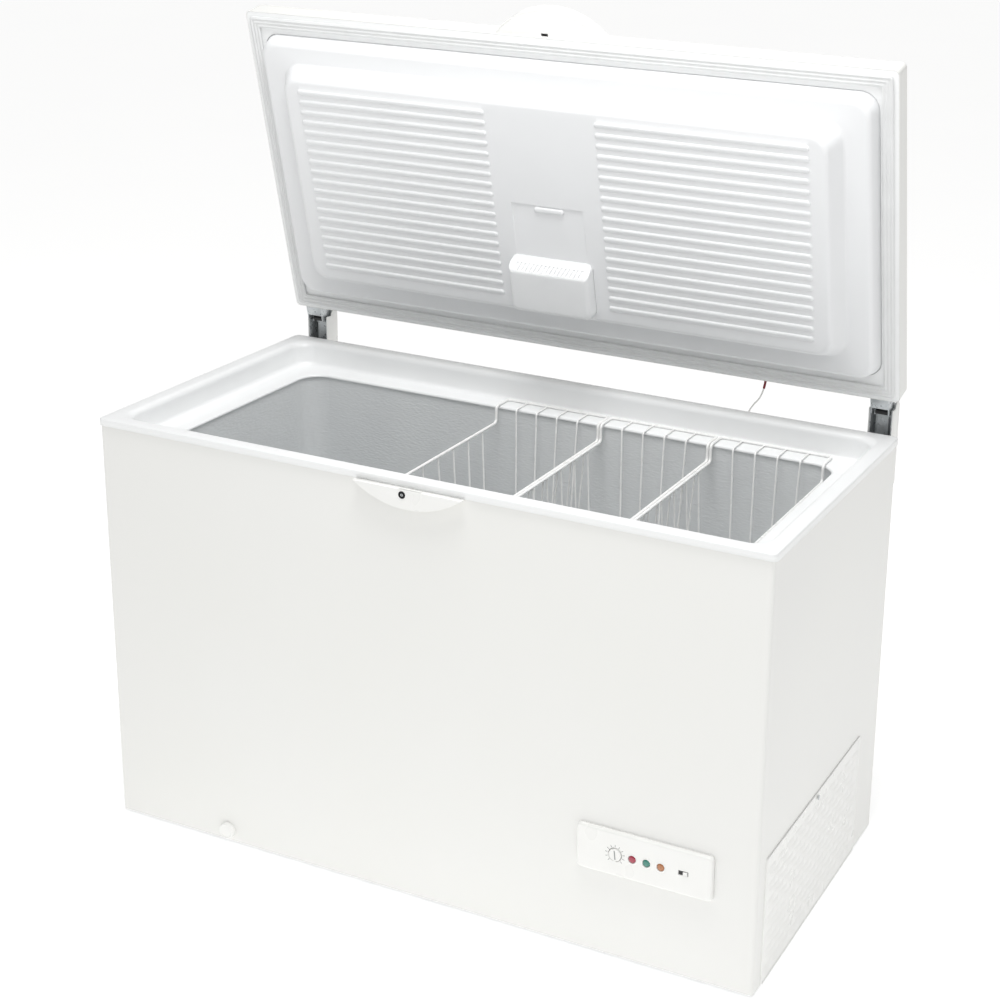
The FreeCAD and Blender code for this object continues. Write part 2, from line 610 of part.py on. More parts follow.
# ---------------------------------------------------------------- controls
panel_low = ("fascia_left", "control_y", "fascia_low")
panel_high = ("fascia_left + fascia_long", "case_front", "fascia_low + fascia_tall")
lens_rods = {node: (place, rod("lens_radius", 9, (place, "control_y - 1.5", "fascia_z"), "y"))
             for node, place in (("alarm_lens_red", RED_X), ("power_lens_green", GREEN_X),
                                 ("freeze_lens_amber", AMBER_X))}
slot_room = box((f"{SLOT_X}", "control_y - 1", "fascia_z - slider_tall / 2"),
                (f"{SLOT_X} + slider_long + slider_travel + 2", "control_y + fascia_wall + 1",
                 "fascia_z + slider_tall / 2"))
keep("control_fascia", cut(
    box(panel_low, panel_high),
    box(("fascia_left + fascia_wall", "control_y + fascia_wall", "fascia_low + fascia_wall"),
        ("fascia_left + fascia_long - fascia_wall", "case_front + 1",
         "fascia_low + fascia_tall - fascia_wall")),
    rod("dial_radius + 0.4", 6, (DIAL_X, "control_y - 1", "fascia_z"), "y"),
    *[rod("lens_radius + 0.1", 6, (place, "control_y - 1", "fascia_z"), "y")
      for place, _ in lens_rods.values()],
    slot_room))
for node, (_, lens) in lens_rods.items():
    keep(node, group(lens))
dial_shaft = "control_y + fascia_wall + 4"
keep("thermostat_dial", cut(
    fuse(rod("dial_radius", "dial_proud + fascia_wall + 3", (DIAL_X, "control_y - dial_proud", "fascia_z"), "y"),
         rod(3, 12, (DIAL_X, dial_shaft + " - 2", "fascia_z"), "y")),
    box((f"{DIAL_X} - 9", "control_y - dial_proud - 1", "fascia_z - 1.2"),
        (f"{DIAL_X} + 9", "control_y - dial_proud + 1.6", "fascia_z + 1.2"))))
keep("thermostat_body", cut(
    box((f"{DIAL_X} - 20", "control_y + fascia_wall + 6", "fascia_z - 22"),
        (f"{DIAL_X} + 20", "case_front + 36", "fascia_z + 22")),
    rod(3.05, 16, (DIAL_X, "control_y + fascia_wall + 5", "fascia_z"), "y")))
keep("fast_freeze_slider", fuse(
    box((f"{SLOT_X} + slider_travel + 1", "control_y - 1.5", "fascia_z - slider_tall / 2 + 0.3"),
        (f"{SLOT_X} + slider_travel + slider_long + 1", "control_y + fascia_wall + 0.3",
         "fascia_z + slider_tall / 2 - 0.3")),
    box((f"{SLOT_X} - 3", "control_y + fascia_wall + 0.3", "fascia_z - slider_tall"),
        (f"{SLOT_X} + slider_travel + slider_long + 5", "control_y + fascia_wall + 3",
         "fascia_z + slider_tall"))))

# ---------------------------------------------------------------- hinges
# A hinge's own sizes are measured from its pin: back is +Y and up is +Z.


def hinge_box(side, x, y, z):
    """A box at one hinge, from ranges measured from the middle of its pin."""
    middle = f"({side} * hinge_centre)"
    return box((f"{middle} + {x[0]}", f"pin_y + {y[0]}", f"pin_z + {z[0]}"),
               (f"{middle} + {x[1]}", f"pin_y + {y[1]}", f"pin_z + {z[1]}"))


def hinge_rod(side, x, radius, y=0, z=0):
    """A bar along X at one hinge, measured from the middle of its pin."""
    middle = f"({side} * hinge_centre)"
    return rod(radius, f"({x[1]}) - ({x[0]})",
               (f"{middle} + {x[0]}", f"pin_y + {y}", f"pin_z + {z}"), "x")


def both_cheeks(outer, gauge):
    """The two X ranges of a pair of plates, from their outer half width and their gauge."""
    return ((f"-({outer})", f"-({outer}) + ({gauge})"), (f"({outer}) - ({gauge})", f"({outer})"))


FACE = "(case_back - pin_y)"
BELOW_RIM = "-(pin_high + rim_skirt + 2)"
LEAF_HALF = "hinge_half - hinge_gauge - leaf_gap"
LID_FACE = "(lid_tail - pin_back)"
COVER_HALF = "hinge_half + fit_gap + cover_wall"
BACK = "(hinge_back - pin_back)"
ROLLER_Y, ROLLER_Z, EAR_OUT, EAR_IN = -22, -7, 15, 13
SPRING_TURNS, SPRING_RADIUS, SPRING_WIRE = 11, 5.2, 1.5


def hinge_body(side):
    """The zinc-plated channel on the case's back, with two ears that hold the pin."""
    cheeks = []
    for x in both_cheeks("hinge_half", "hinge_gauge"):
        cheeks += [hinge_box(side, x, (FACE, BACK), ("-hinge_low", BELOW_RIM)),
                   hinge_box(side, x, ("-28", BACK), (BELOW_RIM, "0")),
                   hinge_rod(side, x, f"{BACK}")]
    full = ("-hinge_half", "hinge_half")
    return cut(
        fuse(*cheeks,
             hinge_box(side, full, (FACE, f"{FACE} + hinge_gauge"), ("-hinge_low", BELOW_RIM)),
             hinge_box(side, full, (f"{BACK} - hinge_gauge", BACK), ("-hinge_low", "-9")),
             hinge_box(side, full, (-13, BACK), ("-hinge_low", "-hinge_low + hinge_gauge"))),
        hinge_rod(side, ("-hinge_half - 1", "hinge_half + 1"), "pin_radius + 0.02"))


def hinge_cover(side):
    """The white plastic cap that closes the channel's back and sides."""
    walls = []
    for x in both_cheeks(COVER_HALF, "cover_wall"):
        walls += [hinge_box(side, x, ("-30", "cover_back - pin_back"), ("-hinge_low - 4", "0")),
                  hinge_rod(side, x, "cover_back - pin_back")]
    return fuse(*walls, hinge_box(side, (f"-({COVER_HALF})", COVER_HALF),
                                  (f"{BACK} + fit_gap", "cover_back - pin_back"),
                                  ("-hinge_low - 4", "-9")))


def hinge_carriage(side):
    """The spring's guide channel, with the two ears that carry the roller."""
    guide = cut(hinge_box(side, (-11, 11), (-11, 7), ("-hinge_low + 18", -14)),
                hinge_box(side, (-9.5, 9.5), (-9.5, 8), ("-hinge_low + 17", -16)))
    ears = [hinge_box(side, x, (-24, -5), (-14, -2)) for x in both_cheeks(EAR_OUT, EAR_OUT - EAR_IN)]
    bridge = hinge_box(side, (-EAR_OUT, EAR_OUT), (-11, -8), (-20, -8))
    return cut(fuse(guide, bridge, *ears),
               hinge_rod(side, (-EAR_OUT - 1, EAR_OUT + 1), 2.05, ROLLER_Y, ROLLER_Z))


def hinge_roller(side):
    """The roller that the leaf's cam presses on, with its shaft."""
    return fuse(hinge_rod(side, (-EAR_IN + 0.3, EAR_IN - 0.3), "roller_radius", ROLLER_Y, ROLLER_Z),
                hinge_rod(side, (-EAR_OUT - 0.5, EAR_OUT + 0.5), 2, ROLLER_Y, ROLLER_Z))


def hinge_spring(side):
    """The compression spring inside the guide channel, a die spring of square wire."""
    low, high = SPRING_WIRE + size("hinge_gauge") + 0.3 - size("hinge_low"), -16.3 - SPRING_WIRE
    tall = high - low
    pitch = tall / SPRING_TURNS
    coil = Part.makeHelix(pitch, tall, SPRING_RADIUS)
    section = Part.makePolygon([
        FreeCAD.Vector(SPRING_RADIUS + out * SPRING_WIRE, 0, up * SPRING_WIRE)
        for out, up in ((-1, -1), (1, -1), (1, 1), (-1, 1), (-1, -1))])
    spring = feature(Part.Wire(coil).makePipeShell([section], True, True))
    spring.Placement.Base = FreeCAD.Vector(side * size("hinge_centre"), size("pin_y") - 1,
                                           size("pin_z") + low)
    return spring


def hinge_leaf(side):
    """The bracket on the lid's back face: a plate, a folded foot and two arms round the pin."""
    arms = []
    for x in both_cheeks(LEAF_HALF, "hinge_gauge"):
        arms += [hinge_box(side, x, (LID_FACE, 0), (-37.5, 3)), hinge_rod(side, x, 8)]
    full = (f"-({LEAF_HALF})", LEAF_HALF)
    return cut(fuse(*arms, hinge_box(side, full, (LID_FACE, f"{LID_FACE} + hinge_gauge"), (-38.5, 5)),
                    hinge_box(side, full, (LID_FACE, -13), (-38.5, "-38.5 + hinge_gauge"))),
               hinge_rod(side, (f"-({LEAF_HALF}) - 1", f"{LEAF_HALF} + 1"), "pin_radius + 0.08"))


SIDES = {"left": -1, "right": 1}
for name, side in SIDES.items():
    keep(f"hinge_body_{name}", hinge_body(side))
    keep(f"hinge_cover_{name}", hinge_cover(side))
    keep(f"hinge_leaf_{name}", hinge_leaf(side))
for node, make in (("hinge_carriages", hinge_carriage), ("hinge_rollers", hinge_roller),
                   ("hinge_springs", hinge_spring)):
    keep(node, group(*[make(side) for side in SIDES.values()]))
keep("hinge_pins", group(*[hinge_rod(side, ("-hinge_half - 0.2", "hinge_half + 0.2"), "pin_radius")
                           for side in SIDES.values()]))
keep("hinge_screws", group(*[
    rod(5, 3, (f"{side} * hinge_centre", "case_back + hinge_gauge", f"pin_z - {drop}"), "y")
    for side in SIDES.values() for drop in (90, 140)]))
keep("leaf_screws", group(*[
    rod(4, 2, (f"{side} * hinge_centre + {step}", "lid_back + hinge_gauge", "pin_z - 24"), "y")
    for side in SIDES.values() for step in (-9, 9)]))

# ---------------------------------------------------------------- lid
LID_LOW, LID_HIGH = ("-lid_x", "lid_front"), ("lid_x", "lid_back")


def shrunk(low, high, by):
    """A rectangle's corners moved inwards all round."""
    return grown(low, high, f"-({by})")


BASE_LOW, BASE_HIGH = shrunk(COLLAR_LOW, COLLAR_HIGH, "panel_gap")
PLATEAU_LOW, PLATEAU_HIGH = shrunk(TUB_LOW, TUB_HIGH, "plateau_gap")
BASE_ROUND, PLATEAU_ROUND = "collar_corner - panel_gap", "tub_corner - plateau_gap"
PANEL_TOP = "skirt + lip_wall + panel_wall"

shell = new_body("lid_shell")
pad(shell, LID_LOW, LID_HIGH, "lid_corner", "skirt", "lid_top")
doc.recompute()
lid_half_y = (size("lid_back") - size("lid_front")) / 2
lid_middle = (size("lid_back") + size("lid_front")) / 2
round_edges(shell, "lid_round", on_level(size("lid_top"), size("lid_x"), lid_half_y, lid_middle))
pocket(shell, *shrunk(LID_LOW, LID_HIGH, "case_gauge"), "lid_corner - case_gauge", "skirt - 1",
       "lid_top - lid_round - case_gauge")
pocket(shell, *shrunk(LID_LOW, LID_HIGH, "lid_round + case_gauge"), "3", "skirt - 1",
       "lid_top - case_gauge")

edge = new_body("lid_edge_frame")
pad(edge, *shrunk(LID_LOW, LID_HIGH, "case_gauge + fit_gap"), "lid_corner - case_gauge", "skirt",
    "skirt + lip_wall")
pocket(edge, BASE_LOW, BASE_HIGH, BASE_ROUND, "skirt - 1", "skirt + lip_wall")


def step_outline(inset, height):
    """The outline of the lid panel's first step, set in by the panel's own wall."""
    return (*shrunk(BASE_LOW, BASE_HIGH, inset), BASE_ROUND, height)


def plateau_outline(inset, height):
    """The outline of the lid panel's ribbed plateau."""
    return (*shrunk(PLATEAU_LOW, PLATEAU_HIGH, inset), PLATEAU_ROUND, height)


def panel_volume(body, kind, inset, top, lift):
    """The step and the plateau as two tapered prisms, added to or taken from a body."""
    loft(body, kind, step_outline(inset, top), step_outline(f"step_taper + {inset}", f"step_low + {lift}"))
    loft(body, kind, plateau_outline(inset, f"step_low + {lift} + {0.01 if kind == 'Subtractive' else 0}"),
         plateau_outline(f"plateau_taper + {inset}", f"plateau_low + {lift}"))


panel = new_body("lid_inner_panel")
pad(panel, *grown(BASE_LOW, BASE_HIGH, 10), f"{BASE_ROUND} + 10", "skirt + lip_wall", PANEL_TOP)
panel_volume(panel, "Additive", "fit_gap", PANEL_TOP, "0")
panel_volume(panel, "Subtractive", "fit_gap + panel_wall", PANEL_TOP, "panel_wall")

lid_foam = new_body("lid_foam")
pad(lid_foam, *shrunk(LID_LOW, LID_HIGH, "case_gauge + 1"), "lid_corner - case_gauge - 1",
    PANEL_TOP, "lid_top - lid_round - case_gauge - 1")
pad(lid_foam, *shrunk(LID_LOW, LID_HIGH, "lid_round + case_gauge + 1"), "3", PANEL_TOP,
    "lid_top - case_gauge - fit_gap")
panel_volume(lid_foam, "Additive", "2 * fit_gap + panel_wall", PANEL_TOP, "panel_wall + fit_gap")

gasket = new_body("lid_gasket")
pad(gasket, *shrunk(LID_LOW, LID_HIGH, "gasket_in"), "4", "rim_height + fit_gap", "skirt",
    wall="gasket_wide", inner_radius="3")

# handle: a hollow segment of a disc on the lid's front edge, closed below by a slotted plate
HANDLE_LOW = "skirt + 2"


def handle_segment(inset, low, high):
    """A level slice of the handle's plan, set in from its curved edge."""
    radius = disc_profile("handle_half", "handle_reach")
    return common(
        rod(f"{radius} - ({inset})", f"({high}) - ({low})", ("0", f"lid_front - handle_reach + {radius}", low)),
        box(("-handle_half - 1", "lid_front - handle_reach - 1", f"({low}) - 1"),
            ("handle_half + 1", f"lid_front - ({inset}) / 10", f"({high}) + 1")))


HANDLE_HIGH = f"{HANDLE_LOW} + handle_thick"
keep("lid_handle", cut(handle_segment("0", HANDLE_LOW, HANDLE_HIGH),
                       handle_segment("handle_wall", f"{HANDLE_LOW} - 1", f"{HANDLE_HIGH} - handle_wall")))
keep("handle_plate", cut(
    handle_segment("handle_wall + fit_gap", HANDLE_LOW, f"{HANDLE_LOW} + 2.5"),
    box(("-barrel_left - cam_wide", "cam_y - 2", f"{HANDLE_LOW} - 1"),
        ("-barrel_left + cam_wide + 3", "cam_y + cam_gauge + 2", f"{HANDLE_LOW} + 4"))))

# lamp
LAMP_BACK = "lid_back - lamp_edge"
lamp_low = ("-lamp_half", f"{LAMP_BACK} - lamp_long", "plateau_low - lamp_deep")
vents = [box((f"-lamp_half + 16 + {9 * step}", f"{LAMP_BACK} - lamp_long - 1", "plateau_low - lamp_deep + 5"),
             (f"-lamp_half + 20 + {9 * step}", f"{LAMP_BACK} - lamp_long + lamp_wall + 1", "plateau_low - 4"))
         for step in range(17)]
keep("lamp_cover", cut(
    box(lamp_low, ("lamp_half", LAMP_BACK, "plateau_low")),
    box(("-lamp_half + lamp_wall", f"{LAMP_BACK} - lamp_long + lamp_wall",
         "plateau_low - lamp_deep + lamp_wall"),
        ("lamp_half - lamp_wall", f"{LAMP_BACK} - lamp_wall", "plateau_low + 1")),
    group(*vents)))
keep("lamp_holder", cut(
    box(("38", f"{LAMP_BACK} - 72", "plateau_low - 15"), ("62", f"{LAMP_BACK} - 44", "plateau_low")),
    rod(5.05, 14, ("37", f"{LAMP_BACK} - 58", "plateau_low - 8"), "x")))
keep("lamp_bulb", fuse(
    rod(5, 14, ("34", f"{LAMP_BACK} - 58", "plateau_low - 8"), "x"),
    rod(7, 48, ("-12", f"{LAMP_BACK} - 58", "plateau_low - 8"), "x")))

LID_NODES = ["lid_shell", "lid_edge_frame", "lid_inner_panel", "lid_foam", "lid_gasket",
             "lid_handle", "handle_plate", "lamp_cover", "lamp_holder", "lamp_bulb",
             "hinge_leaf_left", "hinge_leaf_right", "leaf_screws"]
doc.recompute()
pin = FreeCAD.Vector(0, size("pin_y"), size("pin_z"))
opened = FreeCAD.Rotation(FreeCAD.Vector(-1, 0, 0), size("lid_open"))
lid_pose = FreeCAD.Placement(FreeCAD.Vector(), opened, pin)
for node in LID_NODES:
    parts[node].Placement = lid_pose

# ---------------------------------------------------------------- lamp cable
# The cable leaves an elbow in the rear panel, hangs free, and ends in a sleeve on the lid's back.
CABLE_X = 380
elbow_y, elbow_top = size("case_back") + 9, size("rim_height") - 32
keep("cable_grommet", fuse(
    rod(4.9, 12, (str(CABLE_X), "case_back - 3", "rim_height - 45"), "y"),
    rod(7, 2, (str(CABLE_X), "case_back", "rim_height - 45"), "y"),
    rod(5.5, 18.2, (str(CABLE_X), "case_back + 9", "rim_height - 50.5"))))
lid_entry = lid_pose.multVec(FreeCAD.Vector(CABLE_X + 36, size("lid_back"), size("skirt") + 14))
sleeve_aim = FreeCAD.Vector(-0.2, 0.05, -1).normalize()
sleeve_end = lid_entry + sleeve_aim * 24
keep("cable_sleeve", feature(Part.makeCylinder(size("sleeve_radius"), 24 - 0.9,
                                               lid_entry + sleeve_aim * 0.9, sleeve_aim)))
CABLE_ROUTE = [
    (CABLE_X, elbow_y, elbow_top),
    (CABLE_X, elbow_y + 1, elbow_top + 22),
    (CABLE_X + 9, elbow_y + 8, elbow_top + 42),
    (CABLE_X + 24, sleeve_end.y + 5, sleeve_end.z - 22),
    tuple(sleeve_end + sleeve_aim * 0.3),
]


def cord_tube(points, radius):
    """A tube along straight runs, each corner rounded by 0.45 of its shorter run."""
    points = [FreeCAD.Vector(*point) for point in points]
    edges, start = [], points[0]
    for before, corner, after in zip(points, points[1:], points[2:]):
        into, out = (corner - before).normalize(), (after - corner).normalize()
        cutback = 0.45 * min((corner - before).Length, (after - corner).Length)
        turn = into.getAngle(out)
        bend = cutback / math.tan(turn / 2)
        print(f"cable bend {bend:.1f} mm, run {(corner - before).Length:.1f} mm")
        first, last = corner - into * cutback, corner + out * cutback
        middle = corner + (out - into).normalize() * (bend / math.cos(turn / 2) - bend)
        edges += [Part.LineSegment(start, first).toShape(), Part.Arc(first, middle, last).toShape()]
        start = last
    edges.append(Part.LineSegment(start, points[-1]).toShape())
    path = Part.Wire(edges)
    ring = Part.Wire(Part.Circle(points[0], points[1] - points[0], radius).toShape())
    tube = path.makePipeShell([ring], True, True)
    print(f"cable {path.Length:.1f} mm, volume ratio {tube.Volume / (math.pi * radius**2 * path.Length):.4f}")
    return tube


keep("lamp_cable", feature(cord_tube(CABLE_ROUTE, size("cable_radius"))))

# ---------------------------------------------------------------- baskets
BACK_WIRES, SIDE_WIRES = 4, 7
RAIL_BEND, WIRE_BEND = 9.0, 7.0


def basket(number):
    """One wire basket: a bent rail frame, and U-shaped wires lengthways and crossways."""
    left = -size("basket_left") + number * size("basket_pitch")
    right = left + size("basket_pitch") - size("basket_gap")
    rest = size("ledge") + size("rail_radius") + size("fit_gap")
    side_level = size("ledge") - size("rail_drop")
    floor = size("ledge") - size("basket_deep")
    taper = size("basket_taper")
    rail_front, rail_back = size("collar_front") + 8, size("collar_back") - 8
    wall_front, wall_back = size("tub_front") + 12, size("tub_back") - 12
    middle = (left + right) / 2
    half_frame = [(left, rail_back, rest), (left, wall_back, rest), (left, wall_back, side_level),
                  (left, wall_front, side_level), (left, wall_front, rest), (left, rail_front, rest)]
    frame = [(middle, rail_back, rest), *half_frame,
             *[(right, y, z) for _, y, z in reversed(half_frame)], (middle, rail_back, rest)]
    pieces = [swept(frame, size("rail_radius"), RAIL_BEND)]
    for step in range(1, BACK_WIRES + 1):
        x = left + (right - left) * step / (BACK_WIRES + 1)
        low_x = middle + (x - middle) * (1 - 2 * taper / (right - left))
        route = [(x, rail_back, rest), (x, wall_back, rest), (low_x, wall_back - taper, floor),
                 (low_x, wall_front + taper, floor), (x, wall_front, rest), (x, rail_front, rest)]
        pieces.append(swept(route, size("wire_radius"), WIRE_BEND))
    centre = (wall_front + wall_back) / 2
    for step in range(1, SIDE_WIRES + 1):
        y = wall_front + (wall_back - wall_front) * step / (SIDE_WIRES + 1)
        low_y = centre + (y - centre) * (1 - 2 * taper / (wall_back - wall_front))
        level = floor + 1.6 * size("wire_radius")
        route = [(left, y, side_level), (left + taper, low_y, level),
                 (right - taper, low_y, level), (right, y, side_level)]
        pieces.append(swept(route, size("wire_radius"), WIRE_BEND))
    return pieces[0].multiFuse(pieces[1:])


for number, name in enumerate(("left", "middle", "right")):
    keep(f"basket_{name}", feature(basket(number)))

# ---------------------------------------------------------------- checks and export
doc.recompute()
for obj in doc.Objects:
    if {"Invalid", "Error"} & set(obj.State):
        raise RuntimeError(f"{obj.Name} failed: {obj.State}")
for node, obj in parts.items():
    if obj.Shape.isNull() or not obj.Shape.isValid() or obj.Shape.Volume <= 0:
        raise RuntimeError(f"{node} has no valid solid")
for node, obj in parts.items():
    obj.Shape.exportStep(f"parts/{node}.step")
print(f"{len(parts)} sub-parts")
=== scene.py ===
# %% [markdown]
# # A chest freezer with its lid raised
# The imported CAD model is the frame: it fixes every size and every place, and it never moves.
# This file gives that frame its looks. Large plain parts keep their CAD mesh and get a finish;
# mouldings whose soft edges, ribs and rolls catch the light are drawn again as numpy surfaces.

# %% Load the frame
import json
import math

import bmesh
import bpy
import numpy as np
from mathutils import Matrix, Vector


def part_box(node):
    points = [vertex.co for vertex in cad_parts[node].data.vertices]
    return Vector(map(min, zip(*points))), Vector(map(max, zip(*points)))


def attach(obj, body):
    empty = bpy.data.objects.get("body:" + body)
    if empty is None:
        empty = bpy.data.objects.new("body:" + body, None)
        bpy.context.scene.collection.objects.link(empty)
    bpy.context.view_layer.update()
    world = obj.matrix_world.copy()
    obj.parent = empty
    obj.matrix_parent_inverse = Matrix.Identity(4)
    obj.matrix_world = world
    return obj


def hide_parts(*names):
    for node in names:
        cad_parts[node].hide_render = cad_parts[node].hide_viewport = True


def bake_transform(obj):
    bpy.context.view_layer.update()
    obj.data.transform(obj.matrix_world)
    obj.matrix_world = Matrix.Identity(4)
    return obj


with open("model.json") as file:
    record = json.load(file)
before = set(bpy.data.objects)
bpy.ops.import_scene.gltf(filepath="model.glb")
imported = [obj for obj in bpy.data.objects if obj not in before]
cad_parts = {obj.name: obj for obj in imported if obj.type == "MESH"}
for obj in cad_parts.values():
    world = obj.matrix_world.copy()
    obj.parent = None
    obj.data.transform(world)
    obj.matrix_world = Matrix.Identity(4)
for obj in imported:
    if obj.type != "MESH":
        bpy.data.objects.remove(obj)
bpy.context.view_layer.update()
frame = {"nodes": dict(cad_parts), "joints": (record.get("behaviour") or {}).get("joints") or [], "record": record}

MM = 0.001
nodes = frame["nodes"]

# %% [markdown]
# ## Where things are
# Every place comes from the frame. The lid is easiest to draw shut, where its faces are level,
# so one function turns points from the shut pose to the raised one about the hinge pins, and
# another turns CAD points back. The alternative is to draw on a slant, which hides every size.

# %% The lid's turn about its hinge pins
hinge = next(joint for joint in frame["joints"] if joint["name"] == "lid_hinge")
PIN = np.array(hinge["pos_m"])
RAISED = math.radians(hinge["range_deg"][1] - hinge["range_deg"][0])


def turned(points, angle):
    """Rotate (..., 3) points about the pin's X line: positive angles lift the lid's front."""
    y, z = points[..., 1] - PIN[1], points[..., 2] - PIN[2]
    result = points.copy()
    result[..., 1] = PIN[1] + y * math.cos(angle) + z * math.sin(angle)
    result[..., 2] = PIN[2] - y * math.sin(angle) + z * math.cos(angle)
    return result


def node_points(node):
    """A CAD node's vertices as an (n, 3) array."""
    mesh = nodes[node].data
    points = np.empty(len(mesh.vertices) * 3, np.float32)
    mesh.vertices.foreach_get("co", points)
    return points.reshape(-1, 3).astype(float)


def shut_box(node):
    """Lowest and highest corner of a lid node, as they lie with the lid shut."""
    points = turned(node_points(node), -RAISED)
    return points.min(0), points.max(0)


def rest_box(node):
    """Lowest and highest corner of a node at rest, as arrays."""
    low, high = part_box(node)
    return np.array(low), np.array(high)


print("lid raised by", round(math.degrees(RAISED), 1), "degrees about", PIN)

# %% [markdown]
# ## The camera
# A long lens from the right and above, with a little roll. The lens shift keeps the upright
# lines nearly parallel, as a view camera does, in place of tilting further down.

# %% Camera
AZIMUTH, ELEVATION, ROLL = (math.radians(value) for value in (24.17, 17.42, 1.74))
camera_data = bpy.data.cameras.new("camera")
camera_data.lens = 68.0
camera_data.shift_x, camera_data.shift_y = -0.15, -0.13
camera = bpy.data.objects.new("camera", camera_data)
bpy.context.scene.collection.objects.link(camera)
back = Vector((math.sin(AZIMUTH) * math.cos(ELEVATION), -math.cos(AZIMUTH) * math.cos(ELEVATION),
               math.sin(ELEVATION)))
right = Vector((math.cos(AZIMUTH), math.sin(AZIMUTH), 0))
over = back.cross(right)
rolled_right = right * math.cos(ROLL) + over * math.sin(ROLL)
rolled_over = over * math.cos(ROLL) - right * math.sin(ROLL)
camera.matrix_world = Matrix.Translation((1.67872, -3.06106, 2.07185)) @ Matrix(
    (rolled_right, rolled_over, back)).transposed().to_4x4()
bpy.context.scene.camera = camera
print("camera", camera.location)

# %% [markdown]
# ## Materials: the tools
# A few small helpers are enough. They turn a printed colour into the linear light that shaders
# work in, add a node with its settings and links, and build the finish that most of the freezer
# shares: a colour that drifts a little, a gloss that drifts a little, and a fine bump.

# %% Colour, node and finish helpers


def linear(code):
    """An sRGB hex colour as linear RGBA: the low end is a straight line, the rest a 2.4 power."""
    srgb = np.array([int(code[place:place + 2], 16) / 255 for place in (1, 3, 5)])
    light = np.where(srgb <= 0.04045, srgb / 12.92, ((srgb + 0.055) / 1.055) ** 2.4)
    return (*light.tolist(), 1.0)


def add_node(tree, kind, inputs=None, **settings):
    """Add a node, set its properties, and set or link each named input."""
    node = tree.nodes.new(kind)
    for name, value in settings.items():
        setattr(node, name, value)
    for name, value in (inputs or {}).items():
        if isinstance(value, bpy.types.NodeSocket):
            tree.links.new(value, node.inputs[name])
        else:
            node.inputs[name].default_value = value
    return node


def blank(name, **sockets):
    """A material with one Principled shader whose named sockets are set, and its node tree."""
    material = bpy.data.materials.new(name)
    material.use_nodes = True
    tree = material.node_tree
    shader = tree.nodes["Principled BSDF"]
    for socket, value in sockets.items():
        shader.inputs[socket.replace("_", " ")].default_value = value
    return material, tree, shader


def grain(tree, size_mm, detail=3.0, kind="ShaderNodeTexNoise"):
    """A noise whose spots are about size_mm across on Object coordinates; gives its node."""
    place = add_node(tree, "ShaderNodeTexCoord")
    inputs = {"Vector": place.outputs["Object"], "Scale": 1000.0 / size_mm}
    if kind == "ShaderNodeTexNoise":
        inputs["Detail"] = detail
    return add_node(tree, kind, inputs)


def drift(tree, shader, source, low, high, socket):
    """Carry a 0..1 pattern to a shader socket, between two numbers."""
    spread = add_node(tree, "ShaderNodeMapRange", {"Value": source, "From Min": 0.3,
                                                   "From Max": 0.7, "To Min": low, "To Max": high})
    tree.links.new(spread.outputs["Result"], shader.inputs[socket])


def tint(tree, shader, source, first, second):
    """Carry a 0..1 pattern to the base colour, between two sRGB hex colours."""
    mix = add_node(tree, "ShaderNodeMix", data_type="RGBA")
    mix.inputs[6].default_value, mix.inputs[7].default_value = linear(first), linear(second)
    tree.links.new(source, mix.inputs[0])
    tree.links.new(mix.outputs[2], shader.inputs["Base Color"])


def raised(tree, shader, source, height_mm, strength=1.0):
    """Carry a pattern to the shader's normal, as a relief height_mm deep."""
    bump = add_node(tree, "ShaderNodeBump", {"Height": source, "Distance": height_mm * MM,
                                             "Strength": strength})
    tree.links.new(bump.outputs["Normal"], shader.inputs["Normal"])


finishes = {}


def coated(slot, name, colours, gloss, patch_mm, grain_mm, relief_mm, **sockets):
    """Give a slot a finish whose colour and gloss drift over patch_mm, with a relief of grain_mm
    spots."""
    material, tree, shader = blank(name, **sockets)
    patches = grain(tree, patch_mm, detail=2.0).outputs["Fac"]
    tint(tree, shader, patches, *colours)
    drift(tree, shader, patches, *gloss, "Roughness")
    raised(tree, shader, grain(tree, grain_mm).outputs["Fac"], relief_mm)
    finishes[slot] = material
    return material


print("helpers ready")

# %% [markdown]
# ## The white finishes
# A freezer is white all over, yet never one white: stoved powder coat on steel, satin polystyrene
# mouldings, vacuum-formed sheet, soft seal rubber and dipped wire each scatter light their own
# way. They differ by a few steps of colour and a good deal of gloss, which is what tells them apart.

# %% White finishes
# Polyester powder coat stoved on steel: warm white, half gloss, with a faint orange peel 3 mm
# across that softens reflections.
coated("white_coated_steel", "polyester_powder_coat", ("#E9E9E5", "#ECECEA"), (0.30, 0.38), 420,
       3.0, 0.012, IOR=1.5, Coat_Weight=0.15, Coat_Roughness=0.25)
# Injection-moulded high-impact polystyrene: cooler white and satin, with a fine spark-eroded grain.
coated("white_rim_plastic", "moulded_polystyrene_rim", ("#EDEEEE", "#F1F2F2"), (0.30, 0.40), 180,
       0.9, 0.010, IOR=1.59)
# Vacuum-formed polystyrene sheet: a touch greyer, softer sheen where it stretched over the tool.
coated("white_sheet_plastic", "vacuum_formed_polystyrene", ("#E6E7E8", "#EAEBEC"), (0.34, 0.46),
       90, 1.4, 0.014, IOR=1.59)
# Moulded ABS: the clean, slightly glossy white of handles, covers and the control panel.
coated("white_plastic", "moulded_abs_white", ("#EFEFEC", "#F3F3F1"), (0.26, 0.36), 70, 0.8, 0.008,
       IOR=1.53)
# Extruded soft PVC seal: matt, with a little bloom on its ribs.
coated("white_gasket_rubber", "soft_pvc_seal", ("#D9DADA", "#E2E3E3"), (0.50, 0.62), 40, 1.1,
       0.015, IOR=1.52)
